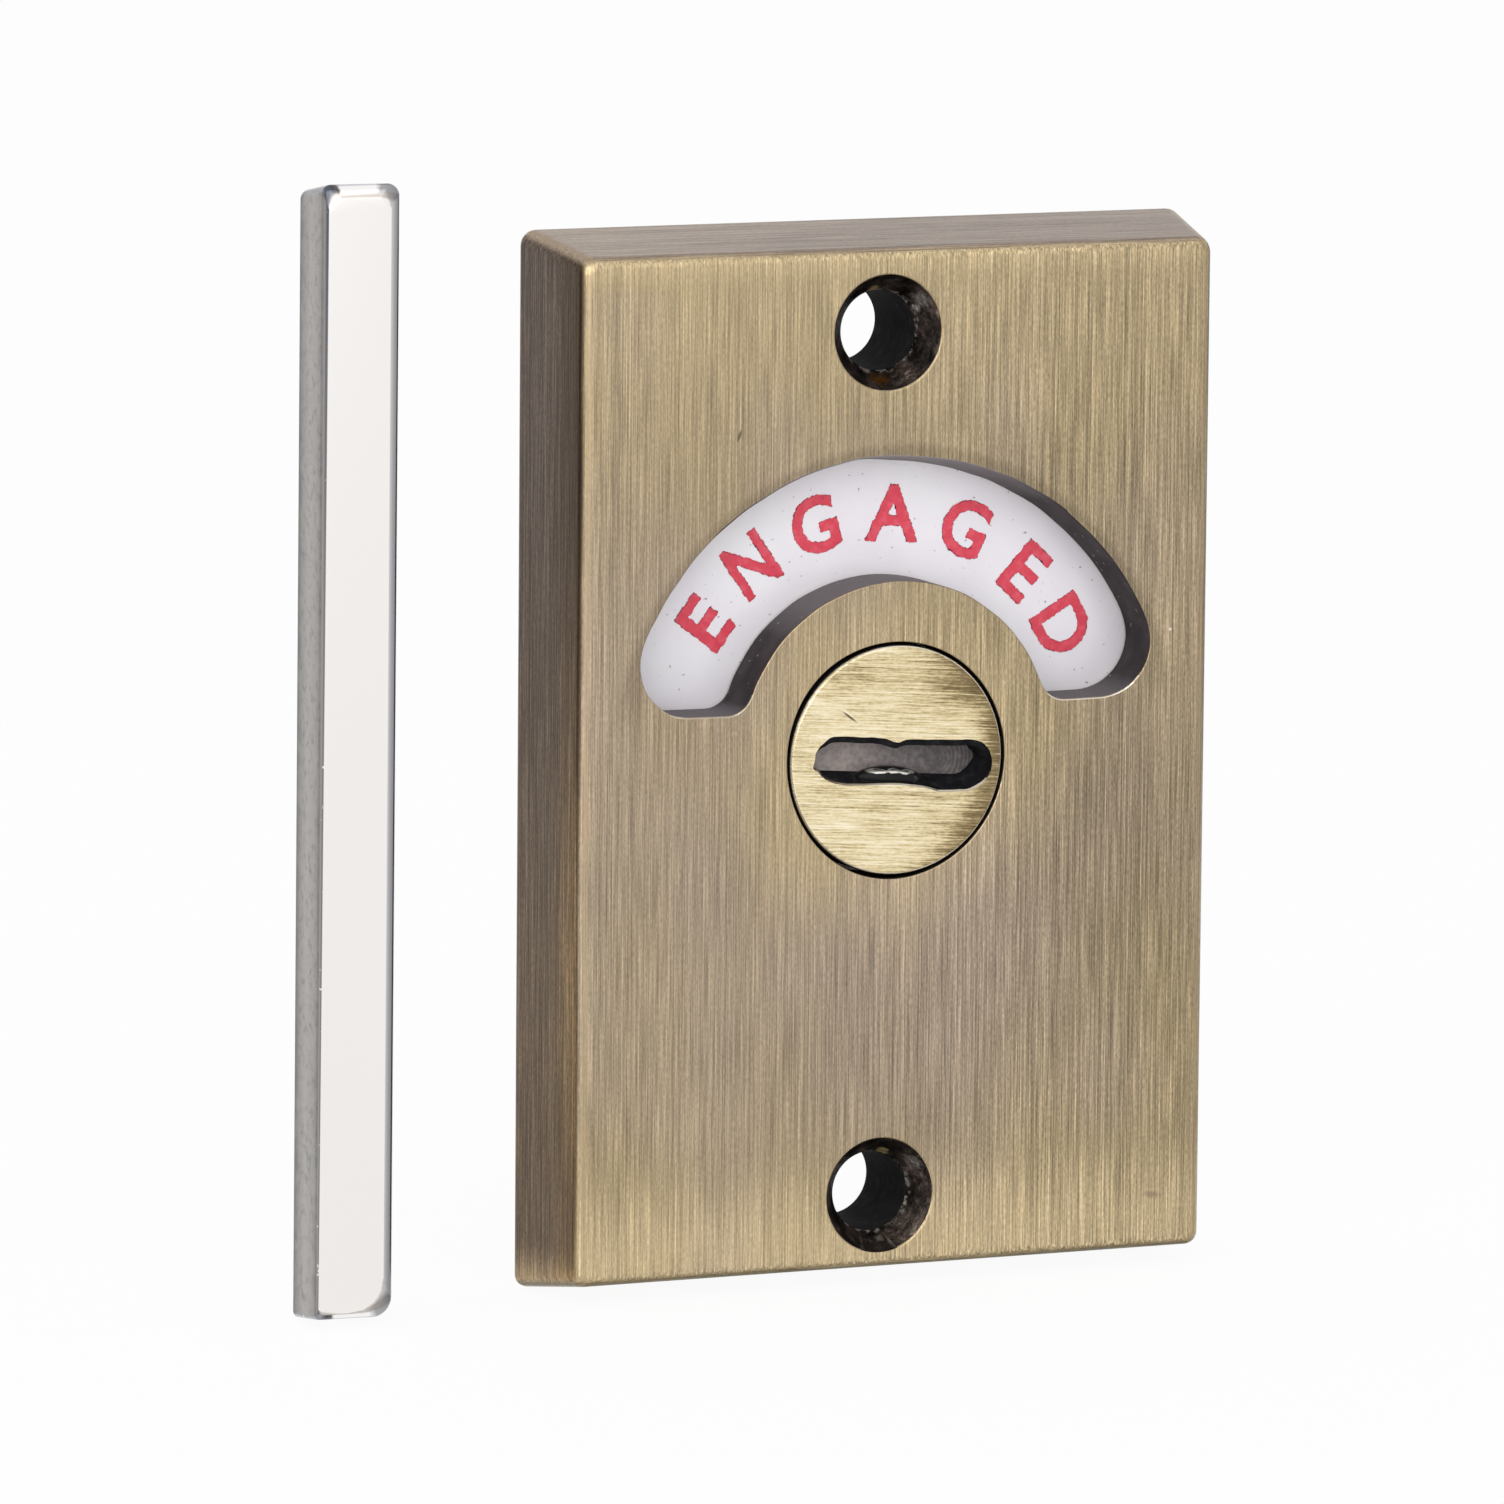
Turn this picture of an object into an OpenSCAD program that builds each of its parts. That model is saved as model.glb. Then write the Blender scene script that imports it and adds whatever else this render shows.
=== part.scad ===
// Toilet indicator plate with a coin turn, an enamelled status disc and a loose square spindle.
// Millimetres. The origin is on the turning axis at the back face, the front faces -Y and +Z is up.
// Depths are measured from the front face towards the back.

/* [Face plate] */
// Width of the front face
plate_w = 50.8; // [50:0.2:70]
// Height of the front face
plate_h = 76.2; // [74:0.2:110]
// Thickness from the front face to the back face
plate_t = 9.3; // [9:0.1:12]
// How far each side runs out from the front edge to the back edge
plate_draft = 1.5; // [0.4:0.02:2]
// Radius of the upright corners
corner_r = 1.2; // [1:0.1:3]
// Softening of the front and back edges
edge_r = 0.7; // [0.2:0.05:0.9]
// Thickness of the wall in front of the disc
front_wall = 4.3; // [3.6:0.1:4.4]

/* [Fixing holes] */
// Distance between the two fixing holes
fixing_spacing = 64.6; // [63:0.2:68]
// Sideways place of both fixing holes, which are drilled off the centre line
fixing_shift = -1; // [-3:0.1:3]
// Height of the middle of the two fixing holes above the turning axis
fixing_rise = -0.4; // [-1:0.1:1]
// Diameter of a fixing hole
fixing_d = 6; // [3.5:0.1:6.4]
// Diameter of the countersink at the front face
countersink_d = 8.7; // [7:0.1:10]
// Depth of the countersink
countersink_depth = 2; // [1.5:0.1:5]

/* [Window] */
// Radius of the window's outer arc
window_outer_r = 22.1; // [19:0.1:22.3]
// Radius of the window's inner arc
window_inner_r = 12.55; // [12.4:0.05:15]
// Height of the arcs' centre above the turning axis
window_rise = 0.85; // [0:0.05:1]
// Height of the window's level lower edge above the turning axis
window_sill = 3.95; // [2:0.05:6]
// Radius of the window's outer lower corners
window_outer_corner_r = 4; // [1:0.1:4.4]
// Radius of the window's inner lower corners
window_inner_corner_r = 2.1; // [0.5:0.1:3]

/* [Coin turn] */
// Diameter of the slotted face
turn_d = 17.2; // [15:0.1:17.8]
// Gap around the slotted face in the plate's bore
turn_gap = 0.25; // [0.1:0.05:0.4]
// Softening of the rim of the slotted face
turn_rim = 0.3; // [0.1:0.05:0.5]
// Length of the coin slot
slot_l = 14.4; // [10:0.1:15]
// Width of the coin slot
slot_w = 3.4; // [1.5:0.1:5]
// Depth of the coin slot
slot_depth = 2.2; // [1:0.1:2.8]
// Turn of the coin slot out of level, in degrees
slot_turn = -4.2; // [-90:0.1:90]
// Diameter of the flange behind the disc
flange_d = 30; // [29:0.2:32]
// Diameter of the tail that turns in the bush
tail_d = 12; // [10.5:0.1:12.5]
// Width across the flats of the spindle socket
socket_w = 6.15; // [6.05:0.05:6.6]
// Thickness left between the coin slot and the spindle socket
socket_web = 1.6; // [0.8:0.1:2]

/* [Indicator disc] */
// Thickness of the disc
disc_t = 0.8; // [0.7:0.05:1]
// How far the disc reaches past the window's outer arc
disc_overlap = 0.95; // [0.5:0.05:1]
// Gap between the disc and the wall of its pocket
disc_gap = 0.5; // [0.3:0.05:0.6]
// Radius of the circle of disc rivets
rivet_circle_r = 10.6; // [10.4:0.1:10.8]
// Diameter of a disc rivet
rivet_d = 1.4; // [1:0.1:1.6]
// Number of disc rivets
rivet_count = 3; // [2:1:4]

/* [Washers and bush] */
// Thickness of the front washer
front_washer_t = 0.35; // [0.2:0.05:0.4]
// Outer diameter of the front washer
front_washer_d = 23.6; // [20:0.2:24]
// Thickness of the thrust washer
thrust_washer_t = 0.4; // [0.2:0.05:0.5]
// Outer diameter of the thrust washer
thrust_washer_d = 20; // [17:0.2:21]
// Height of the dished spring washer
spring_h = 0.75; // [0.6:0.05:0.8]
// Sheet thickness of the dished spring washer
spring_t = 0.35; // [0.2:0.05:0.4]
// Outer diameter of the dished spring washer
spring_d = 19; // [17:0.2:21]
// Wall of the bush around the tail
bush_wall = 1.15; // [0.8:0.05:1.3]
// Thickness of the bush's flange
bush_flange_t = 0.4; // [0.3:0.05:0.5]
// Outer diameter of the bush's flange
bush_flange_d = 19; // [17:0.2:21]
// Running clearance of the tail in the bush, on the radius
running_gap = 0.05; // [0.02:0.01:0.1]

/* [Back cover] */
// Width of the cover
cover_w = 46; // [45:0.2:47]
// Height of the cover
cover_h = 54; // [53:0.2:55]
// Thickness of the cover
cover_t = 1.1; // [0.9:0.05:1.3]
// How far the cover lies below the back face
cover_recess = 0.2; // [0.1:0.05:0.4]
// Corner radius of the cover
cover_corner_r = 4; // [1:0.1:5]
// Clearance around the cover
cover_gap = 0.15; // [0.05:0.05:0.3]
// Distance of the cover screws from the cover's edges
cover_screw_inset = 3.5; // [3:0.1:4]
// Thread diameter of the cover screws
cover_screw_d = 2.5; // [2:0.1:3]
// Head diameter of the cover screws
cover_screw_head_d = 4.7; // [4:0.1:5.2]
// How far the cover screws reach into the plate
cover_screw_reach = 3.2; // [2:0.1:3.6]

/* [Stop and click] */
// Diameter of the stop pin
pin_d = 2; // [1.5:0.1:2.4]
// Distance of the stop pin from the turning axis
pin_r = 12; // [11.6:0.1:12.4]
// Clearance of the stop pin in its slot
pin_gap = 0.1; // [0.05:0.05:0.3]
// Thickness of the click spring's strip
click_t = 0.35; // [0.2:0.05:0.5]
// Width of the click spring's strip
click_w = 1.3; // [0.8:0.1:1.6]
// Gap between the strip and the flange
click_gap = 0.4; // [0.3:0.05:0.6]
// Radius of the bead that drops into a notch
bead_r = 0.9; // [0.7:0.05:1.1]
// Clearance around the bead in its notch
notch_gap = 0.25; // [0.1:0.05:0.4]
// Length of the click spring's foot
foot_l = 7; // [6:0.2:7.2]
// Width of the click spring's foot
foot_w = 3.2; // [3:0.1:3.6]
// Gap between the foot's outer corner and the wall of the pocket
foot_gap = 0.25; // [0.15:0.05:0.6]
// Diameter of a click spring rivet
click_rivet_d = 1.2; // [0.8:0.1:1.4]

/* [Spindle] */
// Width across the flats of the spindle
spindle_w = 6; // [5:0.1:6]
// Length of the spindle
spindle_l = 84; // [60:0.1:150]
// Radius of the spindle's long edges
spindle_edge_r = 0.6; // [0.3:0.1:1.2]
// Radius at the spindle's ends
spindle_end_r = 1.2; // [0.7:0.1:2]
// Distance from the turning axis to the middle of the loose spindle
spindle_x = -43.4; // [-80:0.1:-36]
// Depth of the middle of the loose spindle behind the front face
spindle_depth = 1; // [-10:0.5:20]
// Turn of the loose spindle about its own length, in degrees
spindle_turn = -3.4; // [-45:0.1:45]
// Lean of the loose spindle to the right, in degrees
spindle_lean = 0.2; // [-5:0.1:5]

/* [Hidden] */
$fn = 96;
round_fn = 32;
cut = 0.5;
seat_gap = 0.05;
press_gap = 0.02;
washer_gap = 0.25;
strip_gap = 0.3;
strip_tip = 2;
pin_short = 0.1;
head_ratio = 1.7;

back_w = plate_w + 2 * plate_draft;
back_h = plate_h + 2 * plate_draft;

turn_r = turn_d / 2;
disc_r = window_rise + window_outer_r + disc_overlap;
pocket_r = disc_r + disc_gap;

// The stack of depths, from the front face to the back face
washer_front = front_wall + seat_gap;
disc_front = washer_front + front_washer_t;
flange_front = disc_front + disc_t;
cover_back = plate_t - cover_recess;
cover_front = cover_back - cover_t;
bush_front = cover_front - bush_flange_t;
spring_front = bush_front - spring_h;
thrust_front = spring_front - seat_gap - thrust_washer_t;
flange_back = thrust_front;

tail_r = tail_d / 2;
bush_bore_r = tail_r + running_gap;
bush_r = bush_bore_r + bush_wall;
washer_bore_r = bush_bore_r + washer_gap;
socket_front = slot_depth + socket_web;
flange_r = flange_d / 2;

cover_screw_x = cover_w / 2 - cover_screw_inset;
cover_screw_z = cover_h / 2 - cover_screw_inset;
screw_slot_w = 0.6;
screw_slot_depth = 0.5;

rivet_head_r = head_ratio * rivet_d / 2;
rivet_head_h = 0.4;
click_head_r = head_ratio * click_rivet_d / 2;
click_head_h = 0.5;
first_rivet = 30;

slot_half_w = pin_d / 2 + pin_gap;
pin_back = cover_back - pin_short;

strip_top = -flange_r - click_gap;
strip_front = flange_front + strip_gap;
strip_end = bead_r + strip_tip;
foot_z = strip_top - click_t - foot_w / 2;
foot_low = strip_top - click_t - foot_w;
foot_far = -sqrt(pow(pocket_r - foot_gap, 2) - pow(foot_low, 2));
foot_x = foot_far + foot_l;
foot_rivets = [foot_x - foot_l / 4, foot_x - 3 * foot_l / 4];

brass = "#b49f7c";
bright_brass = "#cdb982";
blackened = "#2d2a2d";
enamel = "#e1dee4";
steel = "#c9c7c3";
nylon = "#e8e4d8";

// A round bar between two depths, with its own radius at each of them
module post(from, to, r, r_back = undef) {
    end_r = is_undef(r_back) ? r : r_back;
    translate([0, to - plate_t, 0]) rotate([90, 0, 0]) cylinder(h = to - from, r1 = end_r, r2 = r);
}

// A flat shape, drawn as seen from the front, between two depths
module slab(from, to) {
    translate([0, to - plate_t, 0]) rotate([90, 0, 0]) linear_extrude(to - from) children();
}

module at(x, z) {
    translate([x, 0, z]) children();
}

module at_corners(x, z) {
    for (sx = [-1, 1], sz = [-1, 1]) at(sx * x, sz * z) children();
}

module around(r, count, first = 0) {
    for (i = [0 : count - 1]) {
        angle = first + i * 360 / count;
        at(r * cos(angle), r * sin(angle)) children();
    }
}

module rounded_block(w, h, r, from, to) {
    block_t = to - from;
    middle = from + block_t / 2 - plate_t;
    translate([0, middle, 0]) {
        cube([w - 2 * r, block_t, h], center = true);
        cube([w, block_t, h - 2 * r], center = true);
    }
    at_corners(w / 2 - r, h / 2 - r) post(from, to, r);
}

// The ring that rounds one corner and one edge of the plate
module corner_ring(depth) {
    translate([0, depth - plate_t, 0]) rotate([90, 0, 0]) rotate_extrude($fn = round_fn) intersection() {
        translate([corner_r - edge_r, 0]) circle(r = edge_r, $fn = round_fn);
        translate([0, -edge_r]) square([corner_r, 2 * edge_r]);
    }
}

module plate_block() {
    hull() {
        at_corners(plate_w / 2 - corner_r, plate_h / 2 - corner_r) corner_ring(edge_r);
        at_corners(back_w / 2 - corner_r, back_h / 2 - corner_r) corner_ring(plate_t - edge_r);
    }
}

// What is cut off a sharp lower corner of the window, on the side away from its fillet
module corner_cut(centre, r, touch, outside) {
    below = window_sill - cut;
    past = 2 * touch - centre;
    difference() {
        polygon([centre, [centre.x, below], [outside, below], [outside, past.y], past]);
        translate(centre) circle(r = r);
    }
}

module window_shape() {
    middle = [0, window_rise];
    outer_r = window_outer_corner_r;
    inner_r = window_inner_corner_r;
    outer_z = window_sill + outer_r;
    inner_z = window_sill + inner_r;
    outer_reach = window_outer_r - outer_r;
    inner_reach = window_inner_r + inner_r;
    outer = [sqrt(pow(outer_reach, 2) - pow(outer_z - window_rise, 2)), outer_z];
    inner = [sqrt(pow(inner_reach, 2) - pow(inner_z - window_rise, 2)), inner_z];
    difference() {
        translate(middle) circle(r = window_outer_r);
        translate(middle) circle(r = window_inner_r);
        translate([-2 * window_outer_r, window_sill - 3 * window_outer_r])
            square([4 * window_outer_r, 3 * window_outer_r]);
        for (side = [0, 1]) mirror([side, 0]) {
            corner_cut(outer, outer_r, middle + (outer - middle) * window_outer_r / outer_reach,
                       window_outer_r + cut);
            corner_cut(inner, inner_r, middle + (inner - middle) * window_inner_r / inner_reach,
                       inner.x - 2 * inner_r);
        }
    }
}

module fixing_hole() {
    post(-cut, plate_t + cut, fixing_d / 2);
    post(0, countersink_depth, countersink_d / 2, fixing_d / 2);
    post(-cut, 0, countersink_d / 2);
}

module face_plate() {
    color(brass) difference() {
        plate_block();
        for (side = [-1, 1]) at(fixing_shift, fixing_rise + side * fixing_spacing / 2) fixing_hole();
        post(-cut, front_wall + cut, turn_r + turn_gap);
        slab(-cut, front_wall + cut) window_shape();
        post(front_wall, cover_front + cut, pocket_r);
        rounded_block(cover_w + 2 * cover_gap, cover_h + 2 * cover_gap, cover_corner_r + cover_gap,
                      cover_front, plate_t + cut);
        at_corners(cover_screw_x, cover_screw_z)
            post(cover_front - cover_screw_reach - cut, cover_front + cut, cover_screw_d / 2 + press_gap);
    }
}

module slot_shape() {
    straight = slot_l - slot_w;
    square([straight, slot_w], center = true);
    for (side = [-1, 1]) translate([side * straight / 2, 0]) circle(r = slot_w / 2);
}

module coin_turn() {
    color(bright_brass) difference() {
        union() {
            post(0, turn_rim, turn_r - turn_rim, turn_r);
            post(turn_rim, flange_front, turn_r);
            post(flange_front, flange_back, flange_r);
            post(flange_back, cover_back, tail_r);
        }
        slab(-cut, slot_depth) rotate(slot_turn) slot_shape();
        slab(socket_front, cover_back + cut) square(socket_w, center = true);
        around(rivet_circle_r, rivet_count, first_rivet)
            post(flange_front - cut, flange_back + cut, rivet_d / 2 + press_gap);
        at(-pin_r, 0) post(flange_front - cut, flange_back + cut, pin_d / 2 + press_gap);
        for (side = [-1, 1]) at(0, side * strip_top)
            post(flange_front - cut, flange_back + cut, bead_r + notch_gap);
    }
}

module indicator_disc() {
    color(enamel) difference() {
        post(disc_front, flange_front, disc_r);
        post(disc_front - cut, flange_front + cut, turn_r + press_gap);
        around(rivet_circle_r, rivet_count, first_rivet) {
            post(disc_front - cut, flange_front + cut, rivet_d / 2 + press_gap);
            post(disc_front, disc_front + rivet_head_h, rivet_head_r + press_gap, rivet_d / 2 + press_gap);
        }
    }
}

module disc_rivets() {
    color(steel) around(rivet_circle_r, rivet_count, first_rivet) {
        post(disc_front, disc_front + rivet_head_h, rivet_head_r, rivet_d / 2);
        post(disc_front + rivet_head_h, flange_back, rivet_d / 2);
    }
}

module stop_pin() {
    color(steel) at(-pin_r, 0) post(flange_front, pin_back, pin_d / 2);
}

module ring(from, to, r_out, r_in) {
    difference() {
        post(from, to, r_out);
        post(from - cut, to + cut, r_in);
    }
}

module front_washer() {
    color(nylon) ring(washer_front, disc_front, front_washer_d / 2, turn_r + press_gap);
}

module thrust_washer() {
    color(nylon) ring(thrust_front, thrust_front + thrust_washer_t, thrust_washer_d / 2, washer_bore_r);
}

module spring_washer() {
    outer_r = spring_d / 2;
    rise = spring_h - spring_t;
    color(steel) translate([0, spring_front - plate_t, 0]) rotate([-90, 0, 0]) rotate_extrude()
        polygon([[washer_bore_r, 0], [outer_r, rise], [outer_r, rise + spring_t], [washer_bore_r, spring_t]]);
}

module rear_bush() {
    color(nylon) difference() {
        union() {
            post(bush_front, cover_front, bush_flange_d / 2);
            post(cover_front, cover_back, bush_r);
        }
        post(bush_front - cut, cover_back + cut, bush_bore_r);
    }
}

// The half circle that the stop pin sweeps
module stop_slot_shape() {
    difference() {
        circle(r = pin_r + slot_half_w);
        circle(r = pin_r - slot_half_w);
        translate([-2 * pin_r, 0]) square(4 * pin_r);
    }
    for (side = [-1, 1]) translate([side * pin_r, 0]) circle(r = slot_half_w);
}

module back_cover() {
    color(brass) difference() {
        rounded_block(cover_w, cover_h, cover_corner_r, cover_front, cover_back);
        post(cover_front - cut, cover_back + cut, bush_r + press_gap);
        slab(cover_front - cut, cover_back + cut) stop_slot_shape();
        at_corners(cover_screw_x, cover_screw_z)
            post(cover_front, cover_back, cover_screw_d / 2 + press_gap, cover_screw_head_d / 2 + press_gap);
        for (x = foot_rivets) at(x, foot_z)
            post(cover_front - cut, cover_back + cut, click_rivet_d / 2 + press_gap);
    }
}

module cover_screws() {
    color(brass) at_corners(cover_screw_x, cover_screw_z) difference() {
        union() {
            post(cover_front - cover_screw_reach, cover_front, cover_screw_d / 2);
            post(cover_front, cover_back, cover_screw_d / 2, cover_screw_head_d / 2);
        }
        translate([0, cover_back - plate_t, 0])
            cube([cover_screw_head_d, 2 * screw_slot_depth, screw_slot_w], center = true);
    }
}

// A strip on edge under the flange, with a bead in the notch and a foot on the cover
module click_spring() {
    strip_back = strip_front + click_w;
    foot_front = cover_front - click_t;
    color(steel) difference() {
        union() {
            translate([foot_x, strip_front - plate_t, strip_top - click_t])
                cube([strip_end - foot_x, click_w, click_t]);
            translate([foot_x - foot_l, strip_front - plate_t, strip_top - click_t])
                cube([foot_l, cover_front - strip_front, click_t]);
            translate([foot_x - foot_l, foot_front - plate_t, strip_top - click_t - foot_w])
                cube([foot_l, click_t, foot_w + click_t]);
            intersection() {
                at(0, strip_top) post(strip_front, strip_back, bead_r);
                translate([-2 * bead_r, strip_front - plate_t, strip_top - click_t])
                    cube([4 * bead_r, click_w, 2 * bead_r]);
            }
        }
        for (x = foot_rivets) at(x, foot_z)
            post(foot_front - cut, cover_front + cut, click_rivet_d / 2 + press_gap);
    }
}

module click_rivets() {
    foot_front = cover_front - click_t;
    color(steel) for (x = foot_rivets) at(x, foot_z) {
        post(foot_front - click_head_h, foot_front, click_head_r);
        post(foot_front, cover_back, click_rivet_d / 2);
    }
}

module rounded_square(w, h, r) {
    square([w - 2 * r, h], center = true);
    square([w, h - 2 * r], center = true);
    for (sx = [-1, 1], sy = [-1, 1]) translate([sx * (w / 2 - r), sy * (h / 2 - r)]) circle(r = r);
}

module spindle() {
    foot = -back_h / 2;
    color(steel) translate([spindle_x, spindle_depth - plate_t, foot + spindle_l / 2])
        rotate([0, spindle_lean, 0]) rotate([0, 0, spindle_turn]) intersection() {
            linear_extrude(spindle_l, center = true) rounded_square(spindle_w, spindle_w, spindle_edge_r);
            intersection_for (turn = [0, 90]) rotate([90, 0, turn])
                linear_extrude(2 * spindle_w, center = true)
                    rounded_square(spindle_w, spindle_l, spindle_end_r);
        }
}

face_plate();
coin_turn();
indicator_disc();
disc_rivets();
stop_pin();
front_washer();
thrust_washer();
spring_washer();
rear_bush();
back_cover();
cover_screws();
click_spring();
click_rivets();
spindle();
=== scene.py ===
import math

import bmesh
import bpy
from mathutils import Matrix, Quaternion, Vector, noise


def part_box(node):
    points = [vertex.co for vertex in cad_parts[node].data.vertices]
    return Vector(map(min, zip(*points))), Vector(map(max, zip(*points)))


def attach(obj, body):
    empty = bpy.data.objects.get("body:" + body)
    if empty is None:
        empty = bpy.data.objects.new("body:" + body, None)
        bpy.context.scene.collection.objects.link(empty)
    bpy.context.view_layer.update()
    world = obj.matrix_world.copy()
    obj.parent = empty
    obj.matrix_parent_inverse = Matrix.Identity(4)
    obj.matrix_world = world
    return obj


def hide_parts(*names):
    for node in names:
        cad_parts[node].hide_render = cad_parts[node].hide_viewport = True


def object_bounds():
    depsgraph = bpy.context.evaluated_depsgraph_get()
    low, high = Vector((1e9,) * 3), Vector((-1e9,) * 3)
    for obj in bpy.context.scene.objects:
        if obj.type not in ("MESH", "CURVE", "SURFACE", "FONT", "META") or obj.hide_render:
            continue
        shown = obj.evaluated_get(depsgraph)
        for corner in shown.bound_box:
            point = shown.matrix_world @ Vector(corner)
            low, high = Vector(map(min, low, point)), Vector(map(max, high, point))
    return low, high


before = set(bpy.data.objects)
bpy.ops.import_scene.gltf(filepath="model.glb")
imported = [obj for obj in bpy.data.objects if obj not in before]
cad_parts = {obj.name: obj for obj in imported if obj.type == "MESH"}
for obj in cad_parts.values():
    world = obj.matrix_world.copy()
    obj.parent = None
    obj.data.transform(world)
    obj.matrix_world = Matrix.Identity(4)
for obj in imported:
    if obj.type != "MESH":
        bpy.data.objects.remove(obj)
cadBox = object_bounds()
mm = 0.001
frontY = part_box("face_plate")[0].y  # the front face, depths run back from here
before, past = -1, 12  # depths in mm in front of and behind every piece, for cuts that go right through
print("frame loaded,", len(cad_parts), "nodes")


# sRGB hex to the linear colour that shaders take
def linear(code):
    channels = [int(code[i:i + 2], 16) / 255 for i in (1, 3, 5)]
    curved = [c / 12.92 if c <= 0.04045 else ((c + 0.055) / 1.055) ** 2.4 for c in channels]
    return (*curved, 1.0)


# one node with its settings, links or values for its sockets, and tones for a ramp
def addNode(tree, kind, sockets=None, tones=None, **settings):
    node = tree.nodes.new(kind)
    for key, value in settings.items():
        setattr(node, key, value)
    for socket, source in (sockets or {}).items():
        if isinstance(source, bpy.types.NodeSocket):
            tree.links.new(source, node.inputs[socket])
        else:
            node.inputs[socket].default_value = source
    if tones:
        steps = node.color_ramp.elements
        while len(steps) < len(tones):
            steps.new(0.5)
        for step, (position, code) in zip(steps, tones):
            step.position = position
            step.color = linear(code)
    return node


# a material with its tree, its shader and its Object coordinates
def newMaterial(name, **values):
    material = bpy.data.materials.new(name)
    material.use_nodes = True
    tree = material.node_tree
    shader = tree.nodes["Principled BSDF"]
    for socket, value in values.items():
        shader.inputs[socket.replace("_", " ")].default_value = value
    place = addNode(tree, "ShaderNodeTexCoord").outputs["Object"]
    return material, tree, shader, place


def perMm(*sizes):
    return tuple(1 / (size * mm) for size in sizes)


def deep(depth):
    return frontY + depth * mm


def spot(x, depth, z):
    return Vector((x * mm, deep(depth), z * mm))


# colour, relief and roughness to the shader; relief is a height, its strength and its depth in mm
def finishSurface(tree, shader, colour, relief=None, rough=None, sunk=False):
    tree.links.new(colour, shader.inputs["Base Color"])
    if rough:
        tree.links.new(rough, shader.inputs["Roughness"])
    if relief:
        height, strength, depth = relief
        bump = addNode(tree, "ShaderNodeBump", {
            "Height": height, "Strength": strength, "Distance": depth * mm}, invert=sunk)
        tree.links.new(bump.outputs[0], shader.inputs["Normal"])


# brush lines in several layers, each with a width and length in mm and a share of the whole, 0.5 on average
def brushField(tree, place, grain, layers):
    total = 0.5 - sum(share for width, length, share in layers) / 2
    finest = None
    for width, length, share in layers:
        upright, level = perMm(width, width, length), perMm(length, width, width)
        if grain in ("x", "z"):
            scale = level if grain == "x" else upright
        else:
            scale = addNode(tree, "ShaderNodeMix", {"Factor": grain, "A": upright, "B": level},
                            data_type="VECTOR").outputs["Result"]
        mapped = addNode(tree, "ShaderNodeMapping", {"Vector": place, "Scale": scale})
        detail = 2.0 if width < 1 else 0.6  # wide clouds stay soft, fine lines are rough
        lines = addNode(tree, "ShaderNodeTexNoise", {
            "Vector": mapped.outputs[0], "Scale": 1.0, "Detail": detail, "Roughness": 0.55})
        finest = finest or lines.outputs["Fac"]
        sums = {0: lines.outputs["Fac"], 1: share, 2: total}
        total = addNode(tree, "ShaderNodeMath", sums, operation="MULTIPLY_ADD").outputs[0]
    return total, finest


# changes of a brush field along an axis, or by the distance from a place (x, z), between two values in mm
def shiftField(tree, place, total, bands):
    at = addNode(tree, "ShaderNodeSeparateXYZ", {0: place})
    for source, start, end, change in bands:
        if source in ("X", "Y", "Z"):
            value = at.outputs[source]
        else:
            value = addNode(tree, "ShaderNodeVectorMath", {0: place, 1: spot(source[0], 0, source[1])},
                            operation="DISTANCE").outputs["Value"]
        band = addNode(tree, "ShaderNodeMapRange", {
            "Value": value, "From Min": start * mm, "From Max": end * mm, "To Max": change},
            interpolation_type="SMOOTHSTEP")
        total = addNode(tree, "ShaderNodeMath", {0: total, 1: band.outputs[0]}).outputs[0]
    return total


# small marks over a colour: place, half width, half height, lean in degrees, tone and strength
def paintMarks(tree, place, colour, marks):
    for x, z, wide, high, lean, code, strength in marks:
        around = addNode(tree, "ShaderNodeMapping", {
            "Vector": place, "Location": spot(x, 0, z), "Rotation": (0, math.radians(lean), 0),
            "Scale": (wide * mm, 1, high * mm)}, vector_type="TEXTURE")
        reach = addNode(tree, "ShaderNodeVectorMath", {0: around.outputs[0]}, operation="LENGTH")
        share = addNode(tree, "ShaderNodeMapRange", {
            "Value": reach.outputs["Value"], "From Min": 1.0, "From Max": 0.4, "To Max": strength})
        colour = addNode(tree, "ShaderNodeMix", {
            "Factor": share.outputs[0], "A": colour, "B": linear(code)}, data_type="RGBA").outputs["Result"]
    return colour


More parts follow.
